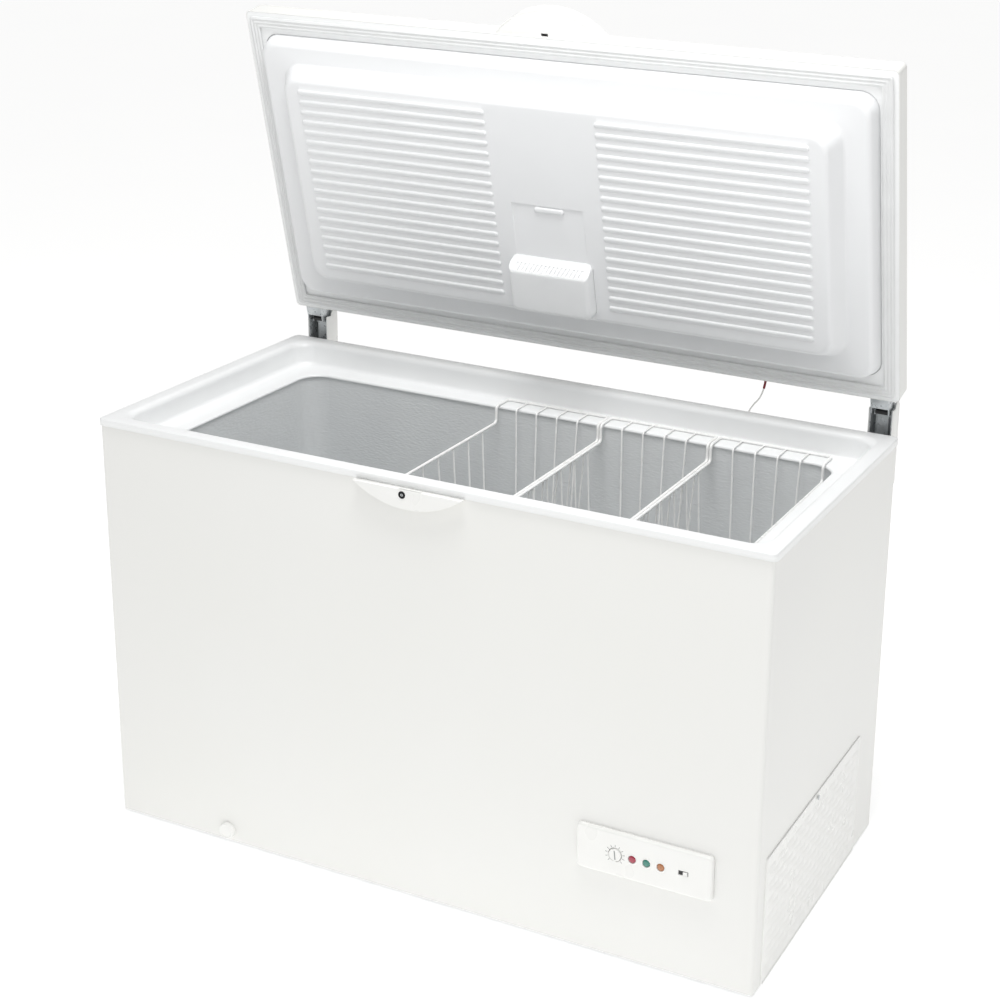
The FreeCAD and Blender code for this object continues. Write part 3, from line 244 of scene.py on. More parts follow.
# Polyethylene dip coat on steel wire: bright and slightly waxy.
coated("white_coated_wire", "dip_coated_wire", ("#F1F1EF", "#F6F6F5"), (0.24, 0.34), 25, 1.5,
       0.015, IOR=1.5)
# PVC sheath of the lamp cable: off-white, with the long marks of extrusion.
coated("white_cable_pvc", "pvc_cable_sheath", ("#E7E7E3", "#EFEFEC"), (0.34, 0.46), 12, 0.7, 0.010,
       IOR=1.53)
# Opal diffuser over the lamp: light goes a little way in, so its shadows are soft.
coated("frosted_lamp_plastic", "opal_polystyrene", ("#E9EAEB", "#EEEFEF"), (0.30, 0.40), 60, 0.8,
       0.008, IOR=1.59, Subsurface_Weight=0.25, Subsurface_Radius=(0.004, 0.004, 0.004))
print(len(finishes), "white finishes")

# %% [markdown]
# ## Metals
# The tub is stucco-embossed aluminium, rolled with a pebble pattern so that dents and scratches
# don't show. A single noise looks like sand, so the pattern here is small cells whose edges are
# bent by a second noise and drawn out sideways, as the rolled sheet is. The other metals are zinc
# plate, galvanised sheet with its spangle, and copper.

# %% Stucco aluminium
# Pebbles drawn out sideways, pressed into lacquered sheet. The lacquer over the pebbles scatters
# most light, so the metal shows as a light grey with broken highlights and is no mirror.
PEBBLE_MM, PEBBLE_SHIFT = 3.6, 3.5 * MM
material, tree, shader = blank("stucco_embossed_aluminium", Metallic=0.25)
wander = grain(tree, 9.0, detail=2.0)
place = add_node(tree, "ShaderNodeTexCoord")
bent = add_node(tree, "ShaderNodeMix", {0: PEBBLE_SHIFT}, data_type="VECTOR")
tree.links.new(place.outputs["Object"], bent.inputs[4])
tree.links.new(wander.outputs["Color"], bent.inputs[5])
drawn = add_node(tree, "ShaderNodeMapping", {"Vector": bent.outputs[1], "Scale": (0.35, 0.35, 1.0)})
pebbles = add_node(tree, "ShaderNodeTexVoronoi", feature="SMOOTH_F1", inputs={
    "Vector": drawn.outputs["Vector"], "Scale": 1000 / PEBBLE_MM})
pebbles.inputs["Smoothness"].default_value = 0.7
raised(tree, shader, pebbles.outputs["Distance"], 0.55, 0.9)
cast = grain(tree, 160, detail=3.0).outputs["Fac"]
tint(tree, shader, cast, "#DCDEDF", "#E6E8E8")
drift(tree, shader, pebbles.outputs["Distance"], 0.38, 0.52, "Roughness")
finishes["stucco_aluminium"] = material

# %% Plated and bare metals
# Bright zinc plate: bluish grey and streaky, duller where the bath was slow.
coated("zinc_plated_steel", "bright_zinc_plate", ("#A9AEB1", "#CED1D2"), (0.24, 0.40), 9, 1.2,
       0.02, Metallic=0.65)
# Bright chrome plate on the hinge pins: nearly a mirror.
coated("chrome_plated_steel", "bright_chrome_plate", ("#C3C5C7", "#CFD1D2"), (0.08, 0.14), 14, 1.0,
       0.004, Metallic=1.0)
# Drawn copper tube: warm, browned in patches by the brazing torch.
coated("copper_tube", "drawn_copper_tube", ("#A5623F", "#C07F58"), (0.24, 0.42), 22, 0.9, 0.01,
       Metallic=1.0)
# Hot-dip galvanised sheet: zinc crystals 14 mm across, each a flat grey of its own.
material, tree, shader = blank("galvanised_spangle", Metallic=1.0)
spangle = grain(tree, 14, kind="ShaderNodeTexVoronoi")
shade = add_node(tree, "ShaderNodeSeparateColor", {"Color": spangle.outputs["Color"]})
tint(tree, shader, shade.outputs[0], "#979B9D", "#B7BABB")
drift(tree, shader, shade.outputs[1], 0.30, 0.46, "Roughness")
raised(tree, shader, grain(tree, 2.0).outputs["Fac"], 0.01)
finishes["galvanised_steel"] = material
# Nickel-plated lock barrel, blackened on its face.
coated("blackened_lock_plate", "blackened_nickel_plate", ("#101113", "#1B1C1E"), (0.24, 0.40), 6,
       0.6, 0.008, Metallic=0.6)
print(len(finishes), "finishes with the metals")

# %% [markdown]
# ## Dark, coloured and hidden finishes
# The three indicator lenses are small, so their colour has to carry: each is a tinted clear
# plastic over a dark lamp chamber, deepest at the middle. The rest is seen only from behind or
# with the panels off.

# %% Lenses, rubber, foam and dark plastics


def lens_finish(name, deep, bright):
    """Tinted clear styrene: colour drifts between deep and bright over 4 mm, under a wet gloss."""
    material, tree, shader = blank(name, Roughness=0.16, IOR=1.59, Coat_Weight=0.6,
                                   Coat_Roughness=0.08)
    tint(tree, shader, grain(tree, 4.0, detail=2.0).outputs["Fac"], deep, bright)
    raised(tree, shader, grain(tree, 1.0).outputs["Fac"], 0.01)
    return material


finishes["red_lens_plastic"] = lens_finish("tinted_styrene_crimson", "#8E0E30", "#B3193F")
finishes["green_lens_plastic"] = lens_finish("tinted_styrene_teal", "#0C6B5C", "#178675")
finishes["amber_lens_plastic"] = lens_finish("tinted_styrene_amber", "#A2602F", "#BC7B48")
# Moulded ABS in black and grey: satin, with a visible grain.
coated("black_plastic", "moulded_abs_black", ("#161617", "#1F1F21"), (0.36, 0.50), 30, 0.9, 0.015,
       IOR=1.53)
coated("grey_plastic", "moulded_pvc_grey", ("#858889", "#929596"), (0.36, 0.48), 40, 1.0, 0.012,
       IOR=1.53)
# Black stoving paint over a drawn steel shell.
coated("black_compressor_paint", "black_stoving_paint", ("#121315", "#1B1C1E"), (0.20, 0.34), 45,
       2.5, 0.03, IOR=1.5)
# Moulded rubber: matt black for the grommets, dark red for the cable's sleeve.
coated("black_rubber", "moulded_rubber_black", ("#1A1A1A", "#262626"), (0.60, 0.74), 20, 0.8, 0.02,
       IOR=1.52)
coated("red_sleeve_rubber", "moulded_rubber_dark_red", ("#6E1420", "#862230"), (0.48, 0.60), 8,
       0.7, 0.015, IOR=1.52)
# Soft lamp glass: white frosted inside.
coated("lamp_glass", "frosted_lamp_glass", ("#F2EFE4", "#F8F6EE"), (0.20, 0.30), 20, 0.8, 0.005,
       IOR=1.52, Transmission_Weight=0.35)
# Polyurethane foam: straw yellow, with bubbles 1.6 mm across on its skin.
material, tree, shader = blank("polyurethane_foam", IOR=1.45)
bubbles = grain(tree, 1.6, kind="ShaderNodeTexVoronoi")
tint(tree, shader, grain(tree, 30).outputs["Fac"], "#DCCB90", "#EADFB4")
drift(tree, shader, bubbles.outputs["Distance"], 0.75, 0.92, "Roughness")
raised(tree, shader, bubbles.outputs["Distance"], 0.4)
finishes["polyurethane_foam"] = material
print(len(finishes), "finishes in all")

# %% Every CAD node gets the finish of its record slot
node_slot = {part["node"]: part["material_slot"] for part in frame["record"]["subparts"]}
for node, obj in nodes.items():
    obj.data.materials.clear()
    obj.data.materials.append(finishes[node_slot[node]])
print(len(nodes), "nodes finished")

# %% [markdown]
# ## Making a mesh from arrays
# Every new piece ends the same way: points and faces go into a mesh, the surface is turned to
# face outwards, and the piece rides on its body in place of its CAD nodes. A closed shape faces
# outwards when its signed volume is positive; an open sheet is told which way it faces.

# %% Mesh and piece helpers


def facing_volume(points, quads, facing):
    """Six times the signed volume, or for a sheet its area vector along facing: the sum over
    faces of the cross product of the diagonals, dotted with the face's centre or with facing."""
    corners = points[quads]
    area = np.cross(corners[:, 2] - corners[:, 0], corners[:, 3] - corners[:, 1])
    toward = corners.mean(1) if facing is None else np.asarray(facing, float)
    return float((area * toward).sum())


def make_piece(name, points, quads, slot, body, stands_for=(), facing=None, sharp=40):
    """A smooth-shaded mesh of quads, with sharp marks where faces meet at more than sharp
    degrees, finished with a slot's material and riding on a body."""
    if facing_volume(points, quads, facing) < 0:
        quads = quads[:, ::-1]
    mesh = bpy.data.meshes.new(name)
    mesh.from_pydata(points.tolist(), [], quads.tolist())
    mesh.polygons.foreach_set("use_smooth", np.ones(len(quads), bool))
    mesh.set_sharp_from_angle(angle=math.radians(sharp))
    mesh.materials.append(finishes[slot])
    obj = bpy.data.objects.new(name, mesh)
    bpy.context.scene.collection.objects.link(obj)
    return settle(obj, body, stands_for)


def settle(obj, body, stands_for=()):
    """Let a piece ride on its body, if it has one, and hide the CAD nodes it
    stands for."""
    if body:
        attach(obj, body)
    if stands_for:
        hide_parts(*stands_for)
    print(obj.name, len(obj.data.polygons), "faces")
    return obj


def walled(obj, thickness):
    """Give a sheet its wall, inwards from the drawn face, so that the drawn face stays put."""
    wall = obj.modifiers.new("wall", "SOLIDIFY")
    wall.thickness, wall.offset = thickness, -1
    return obj


def band_quads(rows, around, closed=False):
    """Quads between neighbouring rows of a (rows, around) lattice that wraps sideways, and from
    the last row to the first when closed."""
    row = np.arange(rows if closed else rows - 1)[:, None]
    place = np.arange(around)[None, :]
    after, beside = (row + 1) % rows, (place + 1) % around
    quads = np.stack(np.broadcast_arrays(row * around + place, row * around + beside,
                                         after * around + beside, after * around + place), -1)
    return quads.reshape(-1, 4)


print("mesh helpers ready")

# %% [markdown]
# ## Rounded rectangles carried along a profile
# The rim, the seal, the lid's inner panel, the control panel and the lamp cover are all one idea:
# a rounded rectangle that changes size and corner radius as a profile descends. Lofting curves
# would work too, but a formula gives every corner the same spacing and no seams.

# %% Rings and capped plates
ARC_STEPS = 16
INWARDS = np.array([1, -1, 1, -1])


def rings(rows, across=(0.0,), along=(0.0,), arc_steps=ARC_STEPS):
    """Points on rounded rectangles, one per row (x_low, x_high, y_low, y_high, radius, level):
    four straight sides at the given fractions, and between them quarter circles about the
    corner centres. Runs anticlockwise seen from above, from the front side's left end."""
    rows = np.asarray(rows, float)[:, :, None]
    x_low, x_high, y_low, y_high, radius, level = (rows[:, place] for place in range(6))
    across, along = np.asarray(across)[None], np.asarray(along)[None]
    arc = np.linspace(0, np.pi / 2, arc_steps, endpoint=False)[None]
    left, right_ = x_low + radius, x_high - radius
    front, rear = y_low + radius, y_high - radius
    quarters = [(right_, front, -np.pi / 2), (right_, rear, 0), (left, rear, np.pi / 2),
                (left, front, np.pi)]
    back_across, back_along = (1 - np.concatenate([[[1.0]], part[:, :0:-1]], 1)
                               for part in (across, along))
    sides = [(left + across * (right_ - left), y_low + 0 * across),
             (x_high + 0 * along, front + along * (rear - front)),
             (right_ + back_across * (left - right_), y_high + 0 * across),
             (x_low + 0 * along, rear + back_along * (front - rear))]
    xs, ys = [], []
    for (side_x, side_y), (centre_x, centre_y, start) in zip(sides, quarters):
        xs += [side_x, centre_x + radius * np.cos(arc + start)]
        ys += [side_y, centre_y + radius * np.sin(arc + start)]
    x, y = np.concatenate(xs, 1), np.concatenate(ys, 1)
    return np.stack([x, y, level + 0 * x], -1)


def capped(rows, xs, ys, level, relief=None, margin=8):
    """A plate: rings from the rim inwards, then a level grid over xs and ys that closes it. The
    outermost `margin` cells of the grid at each corner share the ring's quarter circle, so both
    have the same number of points. relief(u, v, w) may then raise or lower any point."""
    fraction_x = (xs[margin:-1 - margin] - xs[margin]) / (xs[-1 - margin] - xs[margin])
    fraction_y = (ys[margin:-1 - margin] - ys[margin]) / (ys[-1 - margin] - ys[margin])
    loops = rings(rows, fraction_x, fraction_y, 2 * margin)
    across, around = len(xs), loops.shape[1]
    grid = np.stack([*np.meshgrid(xs, ys), np.full((len(ys), across), level)], -1)
    number = np.arange(len(ys) * across).reshape(len(ys), across) + loops.shape[0] * around
    edge = np.concatenate([number[0, :-1], number[:-1, -1], number[-1, :0:-1], number[:0:-1, 0]])
    edge = np.roll(edge, -margin)
    last = np.arange(around) + (loops.shape[0] - 1) * around
    seam = np.stack([last, np.roll(last, -1), np.roll(edge, -1), edge], -1)
    cells = np.stack([number[:-1, :-1], number[:-1, 1:], number[1:, 1:], number[1:, :-1]], -1)
    points = np.concatenate([loops.reshape(-1, 3), grid.reshape(-1, 3)])
    if relief:
        points[:, 2] = relief(*points.T)
    return points, np.concatenate([band_quads(*loops.shape[:2]), seam, cells.reshape(-1, 4)])


def bend(centre, radius, start, end, steps=6):
    """Points of a profile's arc: centre plus radius times cos and sin, from start to end degrees."""
    angle = np.radians(np.linspace(start, end, steps + 1))
    return np.stack([centre[0] + radius * np.cos(angle), centre[1] + radius * np.sin(angle)], -1)


def smooth_step(value, low, high):
    """0 below low, 1 above high, and between them 3t^2 - 2t^3."""
    share = np.clip((value - low) / (high - low), 0, 1)
    return share * share * (3 - 2 * share)


print("ring helpers ready")

# %% [markdown]
# ## The lamp cable
# A thin PVC cable leaves an elbow on the cabinet's back, hangs free, and goes into a sleeve on the
# lid, so that the lid can swing. Its centre line is a NURBS curve through the air between the two;
# the tube is a mesh worked out round points read from that curve.

# %% Lamp cable
CABLE_ROUTE = [(0.380, 0.3164, 0.828), (0.380, 0.3174, 0.850), (0.389, 0.3244, 0.870),
               (0.404, 0.3289, 0.887), (0.4112, 0.3239, 0.9087)]
CABLE_DIAMETER = 0.0035


def nurbs_points(route, resolution=12):
    """Points on the smooth NURBS line whose control points are the route."""
    data = bpy.data.curves.new("route", "CURVE")
    data.dimensions, data.resolution_u = "3D", resolution
    spline = data.splines.new("NURBS")
    spline.points.add(len(route) - 1)
    spline.points.foreach_set("co", [value for point in route for value in (*point, 1.0)])
    spline.order_u, spline.use_endpoint_u = 3, True
    line = bpy.data.objects.new("route", data)
    mesh = bpy.data.meshes.new_from_object(line)
    points = np.empty(len(mesh.vertices) * 3, np.float32)
    mesh.vertices.foreach_get("co", points)
    bpy.data.objects.remove(line)
    bpy.data.meshes.remove(mesh)
    return points.reshape(-1, 3).astype(float)


def tube(path, radius, around=20):
    """Circles across a path: each is centre plus radius times cos and sin of two directions
    square to the path, found by crossing its tangent with a fixed side direction. Flat ends."""
    ahead = np.gradient(path, axis=0)
    ahead /= np.linalg.norm(ahead, axis=1, keepdims=True)
    side = np.cross(ahead, (0.0, 1.0, 0.0))
    side /= np.linalg.norm(side, axis=1, keepdims=True)
    up = np.cross(side, ahead)
    turn = np.linspace(0, 2 * np.pi, around, endpoint=False)
    circle = np.cos(turn)[None, :, None] * side[:, None] + np.sin(turn)[None, :, None] * up[:, None]
    rows = path[:, None] + radius * circle
    return np.concatenate([np.repeat(path[:1], around, 0)[None], rows,
                           np.repeat(path[-1:], around, 0)[None]])


def welded(obj):
    """Merge points that coincide, such as a pole's, so that the shape is closed."""
    work = bmesh.new()
    work.from_mesh(obj.data)
    bmesh.ops.remove_doubles(work, verts=work.verts, dist=1e-6)
    bmesh.ops.dissolve_degenerate(work, edges=work.edges, dist=1e-7)
    work.to_mesh(obj.data)
    work.free()
    return obj


cable_line = nurbs_points(CABLE_ROUTE)
cable_rows = tube(cable_line, CABLE_DIAMETER / 2)
cable = welded(make_piece("lamp_lead", cable_rows.reshape(-1, 3), band_quads(*cable_rows.shape[:2]),
                          "white_cable_pvc", None, ["lamp_cable"]))
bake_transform(cable)

# %% [markdown]
# ## The rim
# One moulding caps the steel case: a short skirt outside, a flat top that the lid's seal meets,
# a rolled edge, a collar, and a ledge that carries the basket rails. It is one profile carried
# round rounded rectangles, with the corner radius growing inwards as the collar's does.

# %% Rim frame
rim_low, rim_high = rest_box("rim_frame")
liner_low, liner_high = rest_box("inner_liner")
RIM_SKIRT, RIM_FLAT, RIM_ROLL, RIM_EDGE, LEDGE_DROP = 14 * MM, 24 * MM, 12 * MM, 2.5 * MM, 52 * MM
LEDGE_FILLET, LIP_ROLL, RIM_WALL = 10 * MM, 4 * MM, 3 * MM
LIP_TO_LINER = 4.3 * MM
COLLAR = RIM_FLAT + RIM_ROLL
LEDGE_START = COLLAR + LEDGE_FILLET
rim_top = rim_high[2]
lip_end = rim_high[0] - liner_high[0] + LIP_TO_LINER
lip_end_y = liner_low[1] - rim_low[1] + LIP_TO_LINER
ledge = rim_top - LEDGE_DROP
rim_profile = np.concatenate([
    [(0, rim_top - RIM_SKIRT)],
    bend((RIM_EDGE, rim_top - RIM_EDGE), RIM_EDGE, 180, 90, 4),
    bend((RIM_FLAT, rim_top - RIM_ROLL), RIM_ROLL, 90, 0, 8),
    bend((LEDGE_START, ledge + LEDGE_FILLET), LEDGE_FILLET, 180, 270, 8),
    bend((lip_end - LIP_ROLL, ledge - LIP_ROLL), LIP_ROLL, 90, 0, 4),
    [(lip_end, rim_low[2])],
])
inset, level = rim_profile.T
inset_y = np.where(inset > LEDGE_START, LEDGE_START + (inset - LEDGE_START)
                   * (lip_end_y - LEDGE_START) / (lip_end - LEDGE_START), inset)
corner = np.interp(inset, [0, RIM_EDGE, RIM_FLAT, COLLAR, LEDGE_START, lip_end],
                   [10 * MM, 9 * MM, 34 * MM, 40 * MM, 36 * MM, 46 * MM])
rim_rows = np.stack([rim_low[0] + inset, rim_high[0] - inset, rim_low[1] + inset_y,
                     rim_high[1] - inset_y, corner, level], -1)
rim_points = rings(rim_rows)
walled(make_piece("rim_moulding", rim_points.reshape(-1, 3), band_quads(*rim_points.shape[:2]),
                  "white_rim_plastic", "cabinet", ["rim_frame"], facing=(0, 0, 1)), RIM_WALL)
print("ledge at", round(ledge, 4), "lip", round(lip_end, 4))

# %% [markdown]
# ## The lid's inner panel
# A sheet of polystyrene drawn over a tool: a first step that drops inside the collar, a second
# step that fills the tub's mouth, two fields of stiffening ribs, and a plain strip between them
# with a shallow ramp that leads to the lamp. Ribs could be separate bars, but the real ones are
# folds of the same sheet, so they are a relief worked out on the panel's own grid.

# %% Lid inner panel: outlines
PANEL_GAP, STEP_DEEP, STEP_TAPER = 3.5 * MM, 30 * MM, 9 * MM
PLATEAU_GAP, PLATEAU_DEEP, PLATEAU_TAPER = 6 * MM, 68 * MM, 18 * MM
CREST, LID_LIFT, LID_NOSE = 12 * MM, 6 * MM, 4 * MM
skirt = rim_top + LID_LIFT
step_level, plateau_level = skirt - STEP_DEEP, skirt - PLATEAU_DEEP
base = COLLAR + PANEL_GAP
base_outline = np.array([rim_low[0] + base, rim_high[0] - base,
                         rim_low[1] + base, rim_high[1] - base])
mouth = lip_end + PLATEAU_GAP
mouth_y = lip_end_y + PLATEAU_GAP
plateau_outline = np.array([rim_low[0] + mouth, rim_high[0] - mouth,
                            rim_low[1] + mouth_y, rim_high[1] - mouth_y])


def step_rows(outline, radius, profile):
    """Rows for rings from one outline: each profile point (inset, level) moves all sides in, and
    the corner radius shrinks by 0.35 of the inset."""
    inset, level = np.asarray(profile).T[:, :, None]
    corner = np.clip(radius - 0.35 * inset, 4 * MM, 1)
    return np.concatenate([outline + inset * INWARDS, corner, level], 1)


def crest_arc(taper, drop, top, low, radius):
    """The rolled edge between a slope and the level face below it: the arc that touches both.
    The slope falls `drop` over `taper`; the arc's centre is one radius above the low level."""
    lean = math.atan2(taper, drop)
    reach = radius * (1 - math.sin(lean))
    start = taper * (top - low - reach) / drop
    centre = (start + radius * math.cos(lean), low + radius)
    return bend(centre, radius, 180 + math.degrees(lean), 270, 7)


step_profile = np.concatenate([
    [(-6 * MM, skirt + 4.5 * MM), (0.3 * MM, skirt + 4.3 * MM), (0.9 * MM, skirt + 1 * MM)],
    crest_arc(STEP_TAPER, STEP_DEEP + 5 * MM, skirt + 5 * MM, step_level, CREST)])
plateau_profile = np.concatenate([
    [(-5 * MM, step_level), (-1.2 * MM, step_level - 0.8 * MM), (1.2 * MM, step_level - 4 * MM)],
    crest_arc(PLATEAU_TAPER, PLATEAU_DEEP - STEP_DEEP, step_level, plateau_level, CREST)])
panel_rows = np.concatenate([step_rows(base_outline, 36.5 * MM, step_profile),
                             step_rows(plateau_outline, 40 * MM, plateau_profile)])
crest_end = plateau_profile[-1, 0]
print("plateau crest ends", round(crest_end, 4), "inside its outline")

# %% Lid inner panel: ribs, ramp and slot boss
RIB_COUNT, RIB_PITCH, RIB_HALF, RIB_RISE = 19, 21.7 * MM, 5.6 * MM, 3.0 * MM
FIELD_NEAR, FIELD_FAR = 119 * MM, 551 * MM
RAMP_LEFT, RAMP_RIGHT, RAMP_DEEP = -80 * MM, 78 * MM, 2.6 * MM
lid_front = rim_low[1] - LID_NOSE
first_rib = lid_front + 137 * MM
ramp_start, lamp_start = lid_front + 322 * MM, shut_box("lamp_cover")[0][1]
BOSS_HALF, BOSS_RADIUS, BOSS_RISE = 27 * MM, 6 * MM, 4.5 * MM


def bar_relief(along, beside, radius):
    """A rounded bar's height from 0 to 1: one minus the fourth power of the distance from its
    middle line over its half width, so that it is flat on top and steep at the foot."""
    distance = np.hypot(along, beside) / radius
    return np.clip(1 - distance ** 4, 0, 1) ** 0.5


def panel_relief(x, y, z):
    """Ribs stand out of the level face, the ramp sinks in at its sharp front edge and comes back
    to the face at the lamp, and an oblong boss stands in the ramp's head."""
    number = np.clip(np.round((y - first_rib) / RIB_PITCH), 0, RIB_COUNT - 1)
    beside = y - first_rib - number * RIB_PITCH
    past_end = np.clip(np.maximum(FIELD_NEAR + RIB_HALF - abs(x), abs(x) - FIELD_FAR + RIB_HALF),
                       0, 1)
    lean = np.clip(1 - 0.35 * beside / RIB_HALF, 0.6, 1)
    rib = RIB_RISE * bar_relief(past_end, beside, RIB_HALF) * lean
    fall = np.clip((lamp_start - y) / (lamp_start - ramp_start), 0, 1) * (y > ramp_start)
    ramp = RAMP_DEEP * fall * (x > RAMP_LEFT) * (x < RAMP_RIGHT)
    boss_x = np.clip(abs(x - 3 * MM) - BOSS_HALF, 0, 1)
    boss = BOSS_RISE * bar_relief(boss_x, y - ramp_start - 9 * MM, BOSS_RADIUS)
    on_face = z < plateau_level + 0.01 * MM
    return z + np.where(on_face, ramp - rib - boss, 0)


def spaced(low, high, coarse, fine, places, reach):
    """Positions from low to high: coarse apart, and fine apart within reach of certain places."""
    marks = [np.linspace(low, high, int(round((high - low) / coarse)) + 1)]
    marks += [np.arange(place - reach, place + reach, fine) for place in places]
    marks = np.unique(np.concatenate(marks).round(6))
    marks = marks[(marks >= low) & (marks <= high)]
    return marks[np.concatenate([[True], np.diff(marks) > 0.4 * fine])]


GRID_INSET = crest_end + 10.5 * MM
face = plateau_outline + GRID_INSET * INWARDS
edges_x = [side * place for side in (-1, 1) for place in (FIELD_NEAR + 3 * MM, FIELD_FAR - 3 * MM)]
panel_xs = spaced(face[0], face[1], 14 * MM, 1.2 * MM, [*edges_x, RAMP_LEFT, RAMP_RIGHT], 5 * MM)
panel_xs = np.unique(np.concatenate([panel_xs, np.arange(-33, 40, 1.5) * MM]).round(6))
panel_ys = spaced(face[2], face[3], 1.4 * MM, 0.5 * MM, [ramp_start], 1.2 * MM)
panel_points, panel_quads = capped(panel_rows, panel_xs, panel_ys, plateau_level, panel_relief)
walled(make_piece("lid_liner", turned(panel_points, RAISED), panel_quads, "white_sheet_plastic",
                  "lid", ["lid_inner_panel"], facing=(0, -1, -0.2), sharp=50), 2 * MM)
print(len(panel_xs), "by", len(panel_ys), "grid")

# %% [markdown]
# ## The lid's seal
# A magnetic seal is an extruded soft profile: three small ribs on its face, mitred at the corners.
# The profile is a cosine wave across the seal's width, closed by its flat back, carried round
# the lid.

# %% Lid seal
seal_low, seal_high = shut_box("lid_gasket")
SEAL_WIDE, SEAL_RIBS, SEAL_WAVE = 22 * MM, 3, 1.5 * MM
across = np.linspace(0, 1, 25)
trough = 0.5 + 0.5 * np.cos(2 * np.pi * SEAL_RIBS * across)
face_level = seal_low[2] + SEAL_WAVE * trough
seal_profile = np.concatenate([
    np.stack([SEAL_WIDE * across, face_level], -1),
    [(SEAL_WIDE - 0.5 * MM, seal_high[2] - 1 * MM), (SEAL_WIDE - 1 * MM, seal_high[2]),
     (1 * MM, seal_high[2]), (0.5 * MM, seal_high[2] - 1 * MM)]])
seal_outline = np.array([seal_low[0], seal_high[0], seal_low[1], seal_high[1]])
seal_rows = step_rows(seal_outline, 6 * MM, seal_profile)
seal_points = rings(seal_rows, arc_steps=8)
make_piece("lid_seal", turned(seal_points.reshape(-1, 3), RAISED),
           band_quads(*seal_points.shape[:2], closed=True), "white_gasket_rubber", "lid",
           ["lid_gasket"])

# %% [markdown]
# ## The lamp's cover
# An opal box over the bulb: its front is a slope with a row of slanted vents, its other sides are
# upright with rolled edges. It is the same capped plate, cut by the slope: each point keeps the
# lower of the plate's height and the slope's.

# %% Lamp cover
lamp_low, lamp_high = shut_box("lamp_cover")
LAMP_DEEP = lamp_high[2] - lamp_low[2]
LAMP_ROLL, LAMP_SLOPE = 9 * MM, 25 * MM
VENT_PITCH, VENT_HALF, VENT_DEEP, VENT_LEAN = 9 * MM, 1.7 * MM, 3.0 * MM, 0.35
lamp_outline = np.array([lamp_low[0], lamp_high[0], lamp_low[1], lamp_high[1]])
lamp_profile = np.concatenate([
    [(0, 0), (0.5 * MM, 4 * MM)],
    bend((1 * MM + LAMP_ROLL, LAMP_DEEP - LAMP_ROLL), LAMP_ROLL, 180, 90, 7)])
lamp_rows = step_rows(lamp_outline, 13 * MM, lamp_profile)


def lamp_relief(x, y, w):
    """The front slope rises over LAMP_SLOPE; slanted slots are sunk into it at even spacing."""
    slope = LAMP_DEEP * smooth_step(y, lamp_low[1] - 4 * MM, lamp_low[1] + LAMP_SLOPE + 3 * MM)
    sideways = x + VENT_LEAN * (y - lamp_low[1])
    slot = abs((sideways / VENT_PITCH) % 1 - 0.5) * VENT_PITCH < VENT_HALF
    row = ((y > lamp_low[1] + 11.5 * MM) & (y < lamp_low[1] + 23 * MM)
           & (abs(x) < lamp_high[0] - 15 * MM))
    return np.minimum(w, slope) - VENT_DEEP * (slot & row)


GRID_STEP = 0.9 * MM
lamp_face = lamp_outline + (LAMP_ROLL + 4 * MM) * INWARDS
lamp_face[2] = lamp_low[1] + 11 * MM
lamp_xs = np.arange(lamp_face[0], lamp_face[1] + GRID_STEP / 2, GRID_STEP)
lamp_ys = spaced(lamp_face[2], lamp_face[3], 4 * MM, GRID_STEP, [lamp_low[1] + 18 * MM], 9 * MM)
lamp_points, lamp_quads = capped(lamp_rows, lamp_xs, lamp_ys, LAMP_DEEP, lamp_relief, margin=5)
lamp_points[:, 2] = lamp_high[2] - lamp_points[:, 2]
walled(make_piece("lamp_diffuser", turned(lamp_points, RAISED), lamp_quads, "frosted_lamp_plastic",
                  "lid", ["lamp_cover"], facing=(0, -1, -0.2), sharp=35), 1.2 * MM)

# %% [markdown]
# ## The control panel
# A shallow moulded plate with soft edges on the front. Raised rings carry three lenses, a shallow
# well carries the dial and a slot carries the fast-freeze slider. Wells and rings are a relief on
# the plate's grid, and lenses and dial are profiles turned round their own axes.

# %% Control panel plate
fascia_low, fascia_high = rest_box("control_fascia")
FASCIA_DEEP = fascia_high[1] - fascia_low[1]
FASCIA_ROLL = 4.5 * MM
fascia_z = (fascia_low[2] + fascia_high[2]) / 2
centre_of = {node: sum(rest_box(node)) / 2 for node in
             ("alarm_lens_red", "power_lens_green", "freeze_lens_amber", "thermostat_dial",
              "fast_freeze_slider", "drain_cap", "lock_barrel")}
LENSES = {"alarm_lens_red": "red_lens_plastic", "power_lens_green": "green_lens_plastic",
          "freeze_lens_amber": "amber_lens_plastic"}
LENS_RADIUS, RING_HALF, RING_RISE, DIAL_RADIUS = 7 * MM, 1.7 * MM, 1.2 * MM, 12.2 * MM
SLOT_LEFT, SLOT_RIGHT, SLOT_HALF = 0.5515, 0.5705, 4.3 * MM


def fascia_relief(x, z, w):
    """Rings stand round the lenses; the lens seats, the dial's well and the slot are sunk."""
    for node in LENSES:
        away = np.hypot(x - centre_of[node][0], z - fascia_z)
        w = w + RING_RISE * np.clip(1 - ((away - LENS_RADIUS - RING_HALF) / RING_HALF) ** 2, 0, 1)
        w = w - 4 * MM * (away < LENS_RADIUS + 0.4 * MM)
    away = np.hypot(x - centre_of["thermostat_dial"][0], z - fascia_z)
    w = w - 4 * MM * (away < DIAL_RADIUS + 1.3 * MM)
    slot = (x > SLOT_LEFT) & (x < SLOT_RIGHT) & (abs(z - fascia_z) < SLOT_HALF)
    return w - 3 * MM * slot


def front_plate(points):
    """Turn plate points (x, z, depth) to stand on the case's front, growing towards -Y."""
    x, z, deep = points.T
    return np.stack([x, fascia_high[1] - deep, z], -1)


